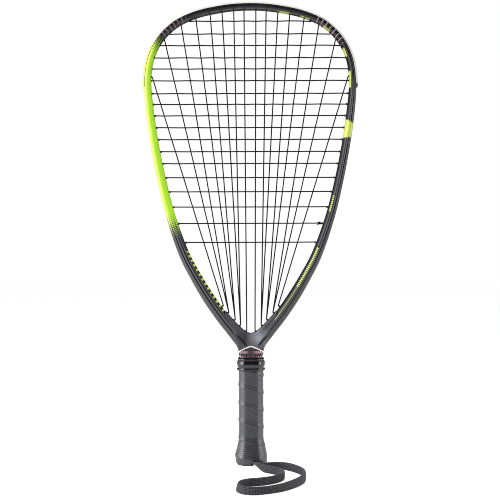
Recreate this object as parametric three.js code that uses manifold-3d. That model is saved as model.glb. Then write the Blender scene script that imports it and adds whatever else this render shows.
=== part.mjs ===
// Racquetball racket: a one-piece graphite frame, a woven string bed threaded through grommets,
// a two-part handle pallet with butt cap, a wound grip, a rubber collar and a flat wrist cord.
// Millimetres. +Z runs up the racket, the string bed lies in the XZ plane, and the origin is
// the centre of the butt's flat bottom.
import * as THREE from 'three';
import { mergeVertices } from 'three/addons/utils/BufferGeometryUtils.js';
import Module from 'manifold-3d';

const wasm = await Module();
wasm.setup();

// Driving dimensions of the whole racket
const overallLength = 558.8;
const bumperProud = 2.0;
const headHalfWidth = 128.2;
const frameTop = overallLength - bumperProud;
const gripTop = 114.5;

// Heights of what sits at the top of the grip, each from the one below it
const collarOverlap = 1.3;
const collarRise = 13.7;
const palletRise = 4.5;
const throatShow = 2.8;
const throatRise = 10;
const collarBottom = gripTop - collarOverlap;
const collarTop = gripTop + collarRise;
const palletTop = gripTop + palletRise;
const shaftBendTop = collarTop + throatShow;
const headFoot = shaftBendTop + throatRise;

// Clearances between pieces
const fitGap = 0.3;
const slipGap = 0.25;
const cutOverrun = 2.0;

// Graphite beam
const beamWidth = 14.5;
const beamDepth = 24;
const channelDepth = 2.8;
const channelMouthHalf = 3.9;
const channelFloorHalf = 3.5;
const shaftGrooveDepth = 0.4;
const channelFadeLength = 8;
const channelFadeBottom = headFoot - channelFadeLength;
const shaftHalfWidth = 9.2;
const shaftHalfDepth = 6.2;
const shaftSlit = 0.5;
const shaftEnd = 16;
const shaftBendClearance = 1.5;
const shaftBendFoot = palletTop + shaftBendClearance;
const shaftStraightDrop = 6.5;
const shaftStraightTop = gripTop - shaftStraightDrop;
const throatHalfWidth = 14.4;
const throatFlare = 2.1;
const stationTurn = 9.5;
const stationReach = 34;

// String bed
const stringRadius = 0.65;
const stringSides = 4;
const weaveRise = stringRadius + fitGap / 2;
const laneGapShare = 0.7;
const laneOffset = stringRadius + fitGap * laneGapShare;
const strandSpacing = 2 * stringRadius + 2 * fitGap;
const tailLength = 6;
const bendSetback = 0.9;
const mouthSetback = 0.7;

// Grommets
const boreRadius = 1.0;
const barrelRadius = 1.5;
const holeRadius = 2.05;
const barrelSides = 6;
const stripThickness = 0.8;
const sideBarrelProud = 2.2;
const topBarrelProud = 0.9;
const throatBarrelProud = 2.0;
const flangeRadius = 2.0;
const outwardWeightShare = 1.8;
const bumperEndShare = 0.820;
const bumperLipShare = 0.30;
const stripTopShare = 0.815;
const stripFootShare = 0.455;

// Handle
const gripHalfWidth = 14.8;
const gripHalfDepth = 13.0;
const gripFlatShare = 0.565;
const gripBottom = 1.2;
const wrapThickness = 1.5;
const wrapPitch = 21;
const wrapOverlapRise = 0.7;
const wrapLapShare = 0.45;
const flareHalfWidth = 19.2;
const flareHeight = 9.5;
const flareTop = 34.6;
const flareCurveShare = 0.7;
const flareHeightShares = [0, 0.4, 1, 1.55, 2.1, 2.65];
const wrapLevels = 28;
const palletBottom = 15;
const capFloor = 3.2;
const capWall = 1.2;
const collarHalfWidth = 16.9;
const collarRoundShare = 0.6;
// Collar's outside: share of its height, share of its half width
const collarWallShares = [
  [0.00, 0.985], [0.06, 1.00], [0.18, 1.00], [0.25, 0.955], [0.33, 1.00], [0.62, 1.00],
  [0.80, 0.975], [0.86, 0.935], [0.94, 0.945], [1.00, 0.925],
];
const tapeThickness = 0.5;
const tapeHeight = 3.6;
const screwHeight = 22;
const screwShankRadius = 1.1;
const screwHeadRadius = 2.1;
const screwLength = 3.6;
const screwSides = 10;
// Butt cap screw's profile: share of a radius and of a length, point to shoulder, then the head
const screwShankShares = [[0, 1], [0.55, 1], [1, 0.75], [1, 0]];
const screwHeadShares = [[1, 0], [1, 0.5], [0.6, 1], [0, 1]];
const screwHeadHeightShare = 0.45;

// Wrist cord
const cordWidth = 9.4;
const cordThickness = 2.0;
const cordLift = 0.1;
const mouthHalfWidth = 4.4;
const mouthCentre = 6.6;
const mouthDepth = 7.4;
const knotCentre = 6.0;
const knotHalfWidth = 4.9;
const knotDepthShare = 0.6;
const knotHeightShare = 0.42;
const cordEdgeShare = 0.35;
const cordSteps = 62;

// Heights in the tables are shares of the way up the frame: 1 is its top, and the head's foot,
// which doesn't move when the head grows, is at this share
const headFootShare = 0.2532;

// Outline of the graphite beam's outer edge, right half, from the top centre to the throat:
// share of the head's half width, share of the way up
const outlineShares = [
  [0, 1], [0.172, 0.9981], [0.328, 0.9929], [0.472, 0.9857], [0.597, 0.9756], [0.702, 0.9634],
  [0.792, 0.9470], [0.870, 0.9273], [0.931, 0.9034], [0.973, 0.8764], [0.994, 0.8468],
  [1, 0.8154], [0.992, 0.7813], [0.954, 0.7112], [0.881, 0.6196], [0.790, 0.5325],
  [0.660, 0.4454], [0.5645, 0.4018], [0.4565, 0.3583], [0.327, 0.3143], [0.2, 0.2765],
];
// Beam width and depth by height: [height share, width share, depth share]
const beamShares = [
  [1.00, 0.55, 0.83], [0.90, 0.50, 0.85], [0.84, 0.53, 0.87], [0.78, 0.635, 0.89],
  [0.70, 0.665, 0.91], [0.62, 0.695, 0.93], [0.54, 0.735, 0.95], [0.465, 0.82, 0.97],
  [0.36, 0.96, 1.00], [0.29, 1.00, 1.00], [0.25, 0.87, 0.97], [0.236, 0.81, 0.93],
];
// Half of the beam's section, from the inner wall to the channel: share of the width inward
// from the outer edge, and share of the half depth
const sectionShares = [
  [1.00, 0.40], [0.86, 0.76], [0.60, 1.00], [0.47, 0.91], [0.36, 0.95], [0.14, 0.77], [0.00, 0.45],
];
// Main strings of one half, outermost first: share of the head's half width and share of the
// way up, for the aim point at the top and the mouth at the throat
const mainTopShares = [
  [0.961, 0.844], [0.828, 0.927], [0.6555, 0.958], [0.513, 0.9725],
  [0.382, 0.980], [0.2605, 0.984], [0.1515, 0.986], [0.0505, 0.987],
];
const mainMouthShares = [
  [0.2775, 0.3412], [0.2262, 0.3263], [0.2262, 0.3263], [0.1646, 0.3112],
  [0.1646, 0.3112], [0.1131, 0.2983], [0.1131, 0.2983], [0.0546, 0.2866],
];
// Throat holes of one half, from the outermost: share of the way up where each leaves the
// outer edge
const throatExitShares = [0.3285, 0.3120, 0.2955, 0.2790, 0.2660];
// Cross strings from the top: shares of the way up
const crossShares = [
  0.9634, 0.9355, 0.9104, 0.8836, 0.8594, 0.8337, 0.8057, 0.7822, 0.7574,
  0.7315, 0.7055, 0.6792, 0.6532, 0.6225, 0.5918, 0.5585, 0.5228, 0.4815,
];
const bumperRows = crossShares.filter((share) => share > bumperEndShare).length;
const tieRow = crossShares.length - 2;

// Web between the two arms at the throat, right half: points of its outline as a share of the
// head's half width and a share of the way up, and its depth as a share of the beam's
const yokeTopShares = [[0.026, 0.2832], [0.070, 0.2907], [0.149, 0.3082], [0.240, 0.3320]];
const yokeSideShares = [0.200, 0.3095];
const yokeFootShare = 0.095;
const yokeDepthShare = 0.94;

// Route of the wrist cord on the surface the butt stands on, from the mouth of the butt cap
// round its loop and back
const cordRoute = [
  [9.2, -8.6], [9.2, -14], [9.5, -19.5], [13.5, -25.5], [22.5, -29.5], [34.5, -34.5], [46, -44],
  [54.5, -57.5], [59.5, -72], [60.5, -87.5], [57.5, -103], [51, -118], [42, -132], [31, -144],
  [17.5, -153.5], [3, -157.5], [-9.5, -152], [-14.8, -140], [-12.5, -127.5], [-3, -119.5],
  [9, -116], [20, -110], [29.5, -101], [35.6, -90], [36.6, -77.5], [31.8, -66], [23, -57.5],
  [14.5, -49], [9.2, -39], [6.2, -28], [4.4, -18], [4.0, -8.6],
];

const palette = {
  graphite: new THREE.MeshStandardMaterial({ color: 0x1b1b1e, roughness: 0.38, metalness: 0.1 }),
  bumper: new THREE.MeshStandardMaterial({ color: 0xd9ddc6, roughness: 0.45, metalness: 0 }),
  nylon: new THREE.MeshStandardMaterial({ color: 0x18181a, roughness: 0.5, metalness: 0 }),
  string: new THREE.MeshStandardMaterial({ color: 0x26262a, roughness: 0.35, metalness: 0 }),
  pallet: new THREE.MeshStandardMaterial({ color: 0x8d8a80, roughness: 0.8, metalness: 0 }),
  cap: new THREE.MeshStandardMaterial({ color: 0x202022, roughness: 0.55, metalness: 0 }),
  grip: new THREE.MeshStandardMaterial({ color: 0x48484e, roughness: 0.7, metalness: 0 }),
  collar: new THREE.MeshStandardMaterial({ color: 0x0d0d0e, roughness: 0.28, metalness: 0 }),
  tape: new THREE.MeshStandardMaterial({ color: 0x101012, roughness: 0.6, metalness: 0 }),
  steel: new THREE.MeshStandardMaterial({ color: 0xb4b6b9, roughness: 0.35, metalness: 1 }),
  webbing: new THREE.MeshStandardMaterial({ color: 0x38383f, roughness: 0.85, metalness: 0 }),
};

const racket = new THREE.Group();

function addPiece(name, geometry, material) {
  const mesh = new THREE.Mesh(geometry, material);
  mesh.name = name;
  racket.add(mesh);
  return mesh;
}

// Solids and booleans
function positionsOnly(geometry) {
  const bare = geometry.clone();
  bare.deleteAttribute('normal');
  bare.deleteAttribute('uv');
  return mergeVertices(bare);
}

function toSolid(geometry) {
  const merged = positionsOnly(geometry);
  return new wasm.Manifold(new wasm.Mesh({
    numProp: 3,
    vertProperties: new Float32Array(merged.attributes.position.array),
    triVerts: new Uint32Array(merged.index.array),
  }));
}

function toGeometry(solid) {
  const mesh = solid.getMesh();
  const geometry = new THREE.BufferGeometry();
  geometry.setAttribute('position', new THREE.BufferAttribute(mesh.vertProperties, 3));
  geometry.setIndex(new THREE.BufferAttribute(mesh.triVerts, 1));
  geometry.computeVertexNormals();
  return geometry;
}

function signedVolume(points, index) {
  let total = 0;
  for (let i = 0; i < index.length; i += 3) {
    const [a, b, c] = [points[index[i]], points[index[i + 1]], points[index[i + 2]]];
    total += a.dot(new THREE.Vector3().crossVectors(b, c));
  }
  return total;
}

// A skin over rings of equal count: capped at both ends, or closed on itself
function loft(rings, closed = false, flatRing = null) {
  const count = rings[0].length;
  const points = rings.flat();
  const index = [];
  const spans = closed ? rings.length : rings.length - 1;
  for (let i = 0; i < spans; i += 1) {
    const low = i * count;
    const high = ((i + 1) % rings.length) * count;
    for (let k = 0; k < count; k += 1) {
      const next = (k + 1) % count;
      index.push(low + k, low + next, high + next, low + k, high + next, high + k);
    }
  }
  if (!closed) {
    const last = (rings.length - 1) * count;
    const faces = THREE.ShapeUtils.triangulateShape(flatRing, []);
    const turned = THREE.ShapeUtils.isClockWise(flatRing);
    for (const [a, b, c] of faces) {
      index.push(...(turned ? [a, b, c] : [a, c, b]));
      index.push(...(turned ? [last + a, last + c, last + b] : [last + a, last + b, last + c]));
    }
  }
  if (signedVolume(points, index) < 0) {
    for (let i = 0; i < index.length; i += 3) {
      [index[i + 1], index[i + 2]] = [index[i + 2], index[i + 1]];
    }
  }
  const geometry = new THREE.BufferGeometry().setFromPoints(points);
  geometry.setIndex(index);
  geometry.computeVertexNormals();
  return geometry;
}

// A round pin between two points, made longer in depth where two strands share it
function pin(from, to, radius, sides, halfSpread = 0) {
  const axis = new THREE.Vector3().subVectors(to, from).normalize();
  const depthwise = new THREE.Vector3(0, 1, 0);
  const across = new THREE.Vector3().crossVectors(depthwise, axis).normalize();
  const flat = [];
  for (let k = 0; k < sides; k += 1) {
    const turn = (2 * Math.PI * (k + 0.5)) / sides;
    const depthwiseReach = radius * Math.sin(turn);
    const stretch = Math.sign(depthwiseReach) * halfSpread;
    flat.push(new THREE.Vector2(radius * Math.cos(turn), depthwiseReach + stretch));
  }
  const rings = [from, to].map((centre) => flat.map((p) => new THREE.Vector3()
    .copy(centre).addScaledVector(across, p.x).addScaledVector(depthwise, p.y)));
  return loft(rings, false, flat);
}

function slab(oneCorner, otherCorner) {
  const box = new THREE.Box3().setFromPoints([oneCorner, otherCorner]);
  const size = box.getSize(new THREE.Vector3());
  const block = new THREE.BoxGeometry(size.x, size.y, size.z);
  block.translate(...box.getCenter(new THREE.Vector3()).toArray());
  return block;
}

function interpolate(table, key, column) {
  let i = 0;
  while (i < table.length - 2 && table[i + 1][0] > key) {
    i += 1;
  }
  const [high, low] = [table[i], table[i + 1]];
  const share = THREE.MathUtils.clamp((key - low[0]) / (high[0] - low[0]), 0, 1);
  return THREE.MathUtils.lerp(low[column], high[column], share);
}

function heightAt(share) {
  return THREE.MathUtils.mapLinear(share, headFootShare, 1, headFoot, frameTop);
}

function shareAt(height) {
  return THREE.MathUtils.mapLinear(height, headFoot, frameTop, headFootShare, 1);
}

function placeInTable([x, z]) {
  return new THREE.Vector3(x * headHalfWidth, 0, heightAt(z));
}

// Outer edge of the beam, as fine samples with their arc length from the top centre
const edgePoints = outlineShares.map(placeInTable);
edgePoints.push(new THREE.Vector3(throatHalfWidth + throatFlare, 0, headFoot));
edgePoints.push(new THREE.Vector3(throatHalfWidth, 0, shaftBendTop));
edgePoints.push(new THREE.Vector3(shaftHalfWidth + fitGap, 0, shaftBendFoot));
edgePoints.push(new THREE.Vector3(shaftHalfWidth, 0, shaftStraightTop));
const leftEcho = new THREE.Vector3(-edgePoints[1].x, 0, edgePoints[1].z);
const edgeCurve = new THREE.CatmullRomCurve3([leftEcho, ...edgePoints], false, 'centripetal');
const edgeSamples = [];
const sampleCount = 900;
const firstShare = 1 / edgePoints.length;
for (let i = 0; i <= sampleCount; i += 1) {
  const at = firstShare + (1 - firstShare) * (i / sampleCount);
  const point = edgeCurve.getPoint(at);
  const tangent = edgeCurve.getTangent(at);
  const before = edgeSamples[i - 1];
  const along = before ? before.along + before.point.distanceTo(point) : 0;
  edgeSamples.push({ point, tangent, along });
}
const edgeLength = edgeSamples[sampleCount].along;

// Size of the beam at one of the edge's samples
function stationAt({ point, tangent, along }) {
  const heightShare = shareAt(point.z);
  const fade = THREE.MathUtils.smoothstep(point.z, channelFadeBottom, headFoot);
  const neck = THREE.MathUtils.smoothstep(point.z, shaftBendFoot, shaftBendTop);
  const width = beamWidth * interpolate(beamShares, heightShare, 1);
  const depth = beamDepth * interpolate(beamShares, heightShare, 2);
  return {
    along,
    point,
    outward: new THREE.Vector3(-tangent.z, 0, tangent.x),
    width: THREE.MathUtils.lerp(shaftHalfWidth - shaftSlit, width, neck),
    depth: THREE.MathUtils.lerp(2 * shaftHalfDepth, depth, neck),
    channel: THREE.MathUtils.lerp(shaftGrooveDepth, channelDepth, fade),
    opening: THREE.MathUtils.lerp(2 * shaftHalfDepth / beamDepth, 1, neck),
  };
}

// Stations of the right half, set closer where the edge turns
const halfStations = [stationAt(edgeSamples[0])];
for (const sample of edgeSamples) {
  const last = halfStations[halfStations.length - 1];
  const station = stationAt(sample);
  const turned = THREE.MathUtils.radToDeg(last.outward.angleTo(station.outward));
  const reached = sample.along - last.along;
  if (turned >= stationTurn || reached >= stationReach || sample.along === edgeLength) {
    halfStations.push(station);
  }
}

// The beam at a signed distance along its outer edge from the top centre: positive is right.
// It runs straight from station to station, as every piece that seats on it does
function beamAt(along) {
  const reach = THREE.MathUtils.clamp(Math.abs(along), 0, edgeLength);
  let i = 0;
  while (i < halfStations.length - 2 && halfStations[i + 1].along < reach) {
    i += 1;
  }
  const [a, b] = [halfStations[i], halfStations[i + 1]];
  const share = (reach - a.along) / (b.along - a.along);
  const side = along < 0 ? -1 : 1;
  const point = new THREE.Vector3().lerpVectors(a.point, b.point, share);
  const outward = new THREE.Vector3().lerpVectors(a.outward, b.outward, share);
  const downward = new THREE.Vector3().subVectors(b.point, a.point).normalize();
  for (const direction of [point, outward, downward]) {
    direction.x *= side;
  }
  return {
    along,
    point,
    outward,
    downward,
    width: THREE.MathUtils.lerp(a.width, b.width, share),
    depth: THREE.MathUtils.lerp(a.depth, b.depth, share),
    channel: THREE.MathUtils.lerp(a.channel, b.channel, share),
    opening: THREE.MathUtils.lerp(a.opening, b.opening, share),
  };
}

// Puts a flat section, given as [outward, depthwise] pairs, at a station of the beam
function placeRing(station, pairs) {
  return pairs.map(([u, v]) => new THREE.Vector3()
    .copy(station.point).addScaledVector(station.outward, u).setY(v));
}

function mirrored(half) {
  return [...half, ...half.slice().reverse().map(([u, v]) => [u, -v])];
}

function beamSection(station) {
  const half = sectionShares.map(([u, v]) => [-u * station.width, v * station.depth / 2]);
  half.push([0, channelMouthHalf * station.opening], [-station.channel, channelFloorHalf * station.opening]);
  return mirrored(half);
}

// The beam's stations along part of the edge, and both ends of that part
function stationsBetween(from, to) {
  const way = Math.sign(to - from);
  const inner = [...halfStations, ...halfStations.slice(1).map(({ along }) => ({ along: -along }))]
    .map(({ along }) => along)
    .filter((along) => (along - from) * way > bendSetback && (to - along) * way > bendSetback)
    .sort((a, b) => (a - b) * way);
  return [from, ...inner, to].map(beamAt);
}

// Distance along the edge, on the right half, where it passes a height
function alongAtHeight(height) {
  const sample = edgeSamples.find(({ point }) => point.z <= height);
  return sample.along;
}

// Grommet holes
const laneDepth = channelDepth - slipGap - stripThickness - fitGap - stringRadius;

function laneAt(along, lane) {
  const station = beamAt(along);
  return new THREE.Vector3().copy(station.point)
    .addScaledVector(station.outward, -laneDepth).setY(lane);
}

// A hole where a string on its way from a point, in a direction, meets the beam
function holeOnWay(origin, direction, lane, proud) {
  const side = direction.x < 0 || origin.x < 0 ? -1 : 1;
  let best = null;
  for (const { along } of edgeSamples) {
    const station = beamAt(side * along);
    const centre = new THREE.Vector3().copy(station.point)
      .addScaledVector(station.outward, -station.width / 2);
    const toCentre = new THREE.Vector3().subVectors(centre, origin);
    const ahead = toCentre.dot(direction);
    const off = toCentre.addScaledVector(direction, -ahead).length();
    if (ahead > 0 && (!best || off < best.off)) {
      best = { off, station, centre };
    }
  }
  const { station, centre } = best;
  const axis = direction.clone().addScaledVector(station.outward, outwardWeightShare).normalize();
  const slope = axis.dot(station.outward);
  const out = (station.width / 2 - laneDepth) / slope;
  const inward = station.width / 2 / slope + proud;
  const exit = new THREE.Vector3().copy(centre).addScaledVector(axis, out).setY(lane);
  const mouth = new THREE.Vector3().copy(centre).addScaledVector(axis, -inward).setY(lane);
  const drift = new THREE.Vector3().subVectors(exit, station.point).dot(station.downward);
  return { axis, exit, mouth, lane, station, along: station.along + side * drift, strands: 1 };
}

// A hole from a mouth on the throat's inner wall to a height on its outer edge
function throatHole(side, mouthPlace, exitHeight, lane, strands) {
  const along = side * alongAtHeight(exitHeight);
  const exit = laneAt(along, lane);
  const entry = new THREE.Vector3(side * mouthPlace.x, lane, mouthPlace.z);
  const axis = new THREE.Vector3().subVectors(exit, entry).normalize();
  const mouth = entry.clone().addScaledVector(axis, -throatBarrelProud);
  return { axis, exit, mouth, lane, station: beamAt(along), along, strands };
}

function spreadOf(hole) {
  return hole.strands > 1 ? strandSpacing / 2 : 0;
}

const mainCount = 2 * mainTopShares.length;
const sides = [-1, 1];
const throatHoles = [];
const mainBottoms = [];

// Mains with the same mouth share a hole
const throatRanks = [];
mainMouthShares.forEach(([x], rank) => {
  const last = throatRanks[throatRanks.length - 1];
  if (last && mainMouthShares[last[0]][0] === x) {
    last.push(rank);
  } else {
    throatRanks.push([rank]);
  }
});
for (const side of sides) {
  throatRanks.forEach((ranks, position) => {
    const mouthPlace = placeInTable(mainMouthShares[ranks[0]]);
    const exitHeight = heightAt(throatExitShares[position]);
    const lane = ranks.length > 1 ? 0 : -side * laneOffset;
    const hole = throatHole(side, mouthPlace, exitHeight, lane, ranks.length);
    throatHoles.push({ hole, side, position });
    ranks.forEach((rank, strand) => {
      const main = side < 0 ? rank : mainCount - 1 - rank;
      const shift = ranks.length > 1 ? -side * strandSpacing * (0.5 - strand) : 0;
      mainBottoms[main] = { hole, shift };
    });
  });
}
const mainTops = [];
for (let main = 0; main < mainCount; main += 1) {
  const side = main < mainCount / 2 ? -1 : 1;
  const rank = side < 0 ? main : mainCount - 1 - main;
  const aim = placeInTable(mainTopShares[rank]);
  aim.x *= side;
  const start = mainBottoms[main].hole.mouth.clone().setY(0);
  const direction = new THREE.Vector3().subVectors(aim, start).normalize();
  mainTops[main] = { hole: holeOnWay(start, direction, -side * laneOffset, topBarrelProud), shift: 0 };
}
const crossHeights = crossShares.map(heightAt);
const crossEnds = crossHeights.map((height, row) => sides.map((side) => {
  const origin = new THREE.Vector3(0, 0, height);
  const direction = new THREE.Vector3(side, 0, 0);
  const proud = row < bumperRows ? topBarrelProud : sideBarrelProud;
  const hole = holeOnWay(origin, direction, side * laneOffset, proud);
  const tied = row === tieRow && side > 0;
  hole.strands = tied ? 2 : 1;
  return { hole, shift: tied ? strandSpacing / 2 : 0 };
}));

// Straight stretch of a hole's strand: its mouth and the start of its bend into the lane
function strandThrough({ hole, shift }) {
  const across = new THREE.Vector3(0, shift, 0);
  return {
    mouth: hole.mouth.clone().add(across).addScaledVector(hole.axis, -mouthSetback),
    bend: hole.exit.clone().add(across).addScaledVector(hole.axis, -bendSetback),
    lane: hole.lane + shift,
    along: hole.along,
  };
}

// Points of a string in the outer channel, from one distance along the edge to another
function laneBetween(from, to, fromLane, toLane) {
  const way = Math.sign(to - from);
  const [start, end] = [from + way * bendSetback, to - way * bendSetback];
  return stationsBetween(start, end).map(({ along }) => {
    const share = (along - start) / (end - start);
    return laneAt(along, THREE.MathUtils.lerp(fromLane, toLane, share));
  });
}

// Over or under at a crossing, for the main string; the cross string takes the other side
function weaveSide(main, row) {
  return (main + row) % 2 === 1 ? 1 : -1;
}

function mainAt(main, height) {
  const top = strandThrough(mainTops[main]).mouth;
  const bottom = strandThrough(mainBottoms[main]).mouth;
  const share = (height - bottom.z) / (top.z - bottom.z);
  return { x: THREE.MathUtils.lerp(bottom.x, top.x, share), inside: share > 0 && share < 1 };
}

// The string stays level from a crossing until it is clear of the other string
function flatOver(crossing, towards) {
  const share = (stringRadius + fitGap) / crossing.distanceTo(towards);
  return crossing.clone().lerp(towards, share).setY(crossing.y);
}

function mainString() {
  const path = [];
  const firstEnd = strandThrough(mainTops[0]);
  path.push(laneAt(firstEnd.along - tailLength, laneOffset));
  path.push(laneAt(firstEnd.along - bendSetback, laneOffset));
  for (let main = 0; main < mainCount; main += 1) {
    const [top, bottom] = [strandThrough(mainTops[main]), strandThrough(mainBottoms[main])];
    const woven = crossHeights
      .map((height, row) => ({ height, row, ...mainAt(main, height) }))
      .filter(({ inside }) => inside)
      .map(({ height, row, x }) => new THREE.Vector3(x, weaveRise * weaveSide(main + 1, row + 1), height));
    const down = [top.bend, top.mouth, flatOver(woven[0], top.mouth), ...woven, bottom.mouth, bottom.bend];
    const goesDown = main % 2 === 0;
    path.push(...(goesDown ? down : down.reverse()));
    if (main < mainCount - 1) {
      const [here, next] = goesDown
        ? [bottom, strandThrough(mainBottoms[main + 1])]
        : [top, strandThrough(mainTops[main + 1])];
      path.push(...laneBetween(here.along, next.along, here.lane, next.lane));
    }
  }
  const lastEnd = strandThrough(mainTops[mainCount - 1]);
  path.push(laneAt(lastEnd.along + bendSetback, -laneOffset));
  path.push(laneAt(lastEnd.along + tailLength, -laneOffset));
  return path;
}

function crossString() {
  const path = [];
  const start = strandThrough(crossEnds[0][1]);
  path.push(laneAt(start.along + tailLength, laneOffset));
  path.push(laneAt(start.along + bendSetback, laneOffset));
  crossEnds.forEach((ends, row) => {
    const [left, right] = ends.map(strandThrough);
    const woven = [];
    for (let main = 0; main < mainCount; main += 1) {
      const { x, inside } = mainAt(main, crossHeights[row]);
      if (inside && x > left.mouth.x && x < right.mouth.x) {
        woven.push(new THREE.Vector3(x, -weaveRise * weaveSide(main + 1, row + 1), crossHeights[row]));
      }
    }
    const across = [left.bend, left.mouth, ...woven, right.mouth, right.bend];
    const goesLeft = row % 2 === 0;
    path.push(...(goesLeft ? across.reverse() : across));
    if (row < crossEnds.length - 1) {
      const end = goesLeft ? 0 : 1;
      const here = [left, right][end];
      const next = strandThrough(crossEnds[row + 1][end]);
      path.push(...laneBetween(here.along, next.along, here.lane, next.lane));
    }
  });
  const tied = crossEnds[tieRow][1];
  const back = strandThrough({ hole: tied.hole, shift: -tied.shift });
  const last = strandThrough(crossEnds[crossEnds.length - 1][1]);
  path.push(...laneBetween(last.along, back.along, last.lane, back.lane));
  path.push(back.bend, back.mouth);
  path.push(back.mouth.clone().addScaledVector(tied.hole.axis, -sideBarrelProud));
  return path;
}

// A tube through points with a ring at each, turned as little as possible from ring to ring
function tubeThrough(path, radius, ringSides) {
  const flat = [];
  for (let k = 0; k < ringSides; k += 1) {
    const turn = (2 * Math.PI * k) / ringSides;
    flat.push(new THREE.Vector2(radius * Math.cos(turn), radius * Math.sin(turn)));
  }
  let across = new THREE.Vector3(0, 1, 0);
  const rings = path.map((point, i) => {
    const before = path[Math.max(i - 1, 0)];
    const after = path[Math.min(i + 1, path.length - 1)];
    const incoming = new THREE.Vector3().subVectors(point, before).normalize();
    const outgoing = new THREE.Vector3().subVectors(after, point).normalize();
    const tangent = incoming.add(outgoing).normalize();
    across = across.clone().addScaledVector(tangent, -across.dot(tangent)).normalize();
    const other = new THREE.Vector3().crossVectors(tangent, across);
    return flat.map((p) => new THREE.Vector3().copy(point)
      .addScaledVector(across, p.x).addScaledVector(other, p.y));
  });
  return loft(rings, false, flat);
}

// Frame
function buildFrame() {
  const stations = stationsBetween(edgeLength, -edgeLength);
  const foot = [stations[0], stations[stations.length - 1]].map((station) => ({
    ...station,
    point: station.point.clone().setZ(shaftEnd),
    outward: new THREE.Vector3(Math.sign(station.point.x), 0, 0),
  }));
  const all = [foot[0], ...stations, foot[1]];
  const section = beamSection(all[0]).map(([u, v]) => new THREE.Vector2(u, v));
  let solid = toSolid(loft(all.map((station) => placeRing(station, beamSection(station))), false, section));
  solid = solid.add(toSolid(yokeBlock()));
  const holes = allHoles().map((hole) => {
    const from = hole.mouth.clone().addScaledVector(hole.axis, -cutOverrun);
    const to = hole.exit.clone().addScaledVector(hole.axis, cutOverrun + laneDepth);
    return toSolid(pin(from, to, holeRadius, barrelSides, spreadOf(hole)));
  });
  return toGeometry(solid.subtract(wasm.Manifold.union(holes)));
}

function allHoles() {
  return [
    ...throatHoles.map(({ hole }) => hole),
    ...mainTops.map(({ hole }) => hole),
    ...crossEnds.flat().map(({ hole }) => hole),
  ];
}

// Web between the two arms, from the string bed's foot to the top of the handle
function yokeBlock() {
  const right = [...yokeTopShares, yokeSideShares].map(placeInTable)
    .map(({ x, z }) => new THREE.Vector2(x, z));
  right.push(new THREE.Vector2(yokeFootShare * headHalfWidth, shaftBendTop));
  const left = right.map(({ x, y }) => new THREE.Vector2(-x, y)).reverse();
  const depth = yokeDepthShare * beamDepth;
  const outline = new THREE.Shape([...left, ...right]);
  const block = new THREE.ExtrudeGeometry(outline, { depth, bevelEnabled: false });
  block.rotateX(Math.PI / 2);
  block.translate(0, depth / 2, 0);
  return block;
}

// Grommet barrels on a strip: joined to it, then bored
function withBarrels(strip, holes) {
  const barrels = holes.map((hole) => toSolid(pin(
    hole.mouth,
    hole.exit.clone().addScaledVector(hole.axis, -(stringRadius + fitGap + stripThickness / 2)),
    barrelRadius,
    barrelSides,
    spreadOf(hole),
  )));
  const bores = holes.map((hole) => toSolid(pin(
    hole.mouth.clone().addScaledVector(hole.axis, -cutOverrun),
    hole.exit.clone().addScaledVector(hole.axis, stringRadius),
    boreRadius,
    barrelSides,
    spreadOf(hole),
  )));
  const joined = toSolid(strip).add(wasm.Manifold.union(barrels));
  return toGeometry(joined.subtract(wasm.Manifold.union(bores)));
}

// Bumper guard over the top of the head: a trough in the channel and a rail each side
function buildBumper() {
  const end = alongAtHeight(heightAt(bumperEndShare));
  const floor = -(channelDepth - slipGap);
  const lip = bumperLipShare * beamDepth;
  const half = [
    [floor, channelFloorHalf - fitGap], [fitGap, channelMouthHalf - fitGap], [fitGap, lip],
    [bumperProud - fitGap, lip - fitGap], [bumperProud, channelMouthHalf - fitGap],
    [floor + stripThickness, laneOffset + stringRadius + fitGap],
  ];
  const ring = [...half, ...half.slice().reverse().map(([u, v]) => [u, -v])];
  const stations = stationsBetween(-end, end);
  const flat = ring.map(([u, v]) => new THREE.Vector2(u, v));
  const strip = loft(stations.map((station) => placeRing(station, ring)), false, flat);
  const holes = [
    ...mainTops.map(({ hole }) => hole),
    ...crossEnds.slice(0, bumperRows).flat().map(({ hole }) => hole),
  ];
  return withBarrels(strip, holes);
}

// Grommet strip in the channel of one side
function buildSideStrip(side) {
  const from = side * alongAtHeight(heightAt(stripTopShare));
  const to = side * alongAtHeight(heightAt(stripFootShare));
  const [floor, top] = [-(channelDepth - slipGap), -(channelDepth - slipGap) + stripThickness];
  const half = channelFloorHalf - fitGap;
  const ring = [[floor, half], [top, half], [top, -half], [floor, -half]];
  const flat = ring.map(([u, v]) => new THREE.Vector2(u, v));
  const stations = stationsBetween(from, to);
  const strip = loft(stations.map((station) => placeRing(station, ring)), false, flat);
  const holes = crossEnds.slice(bumperRows).map((ends) => ends[side < 0 ? 0 : 1].hole);
  return withBarrels(strip, holes);
}

// Single grommet at the throat: a flange in the channel on an angled barrel
function buildThroatGrommet(hole) {
  const { station } = hole;
  const floor = channelDepth - slipGap;
  const foot = station.point.clone().addScaledVector(station.outward, -floor).setY(hole.lane);
  const head = foot.clone().addScaledVector(station.outward, stripThickness);
  const flange = pin(foot, head, flangeRadius, barrelSides, spreadOf(hole));
  return withBarrels(flange, [hole]);
}

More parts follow.
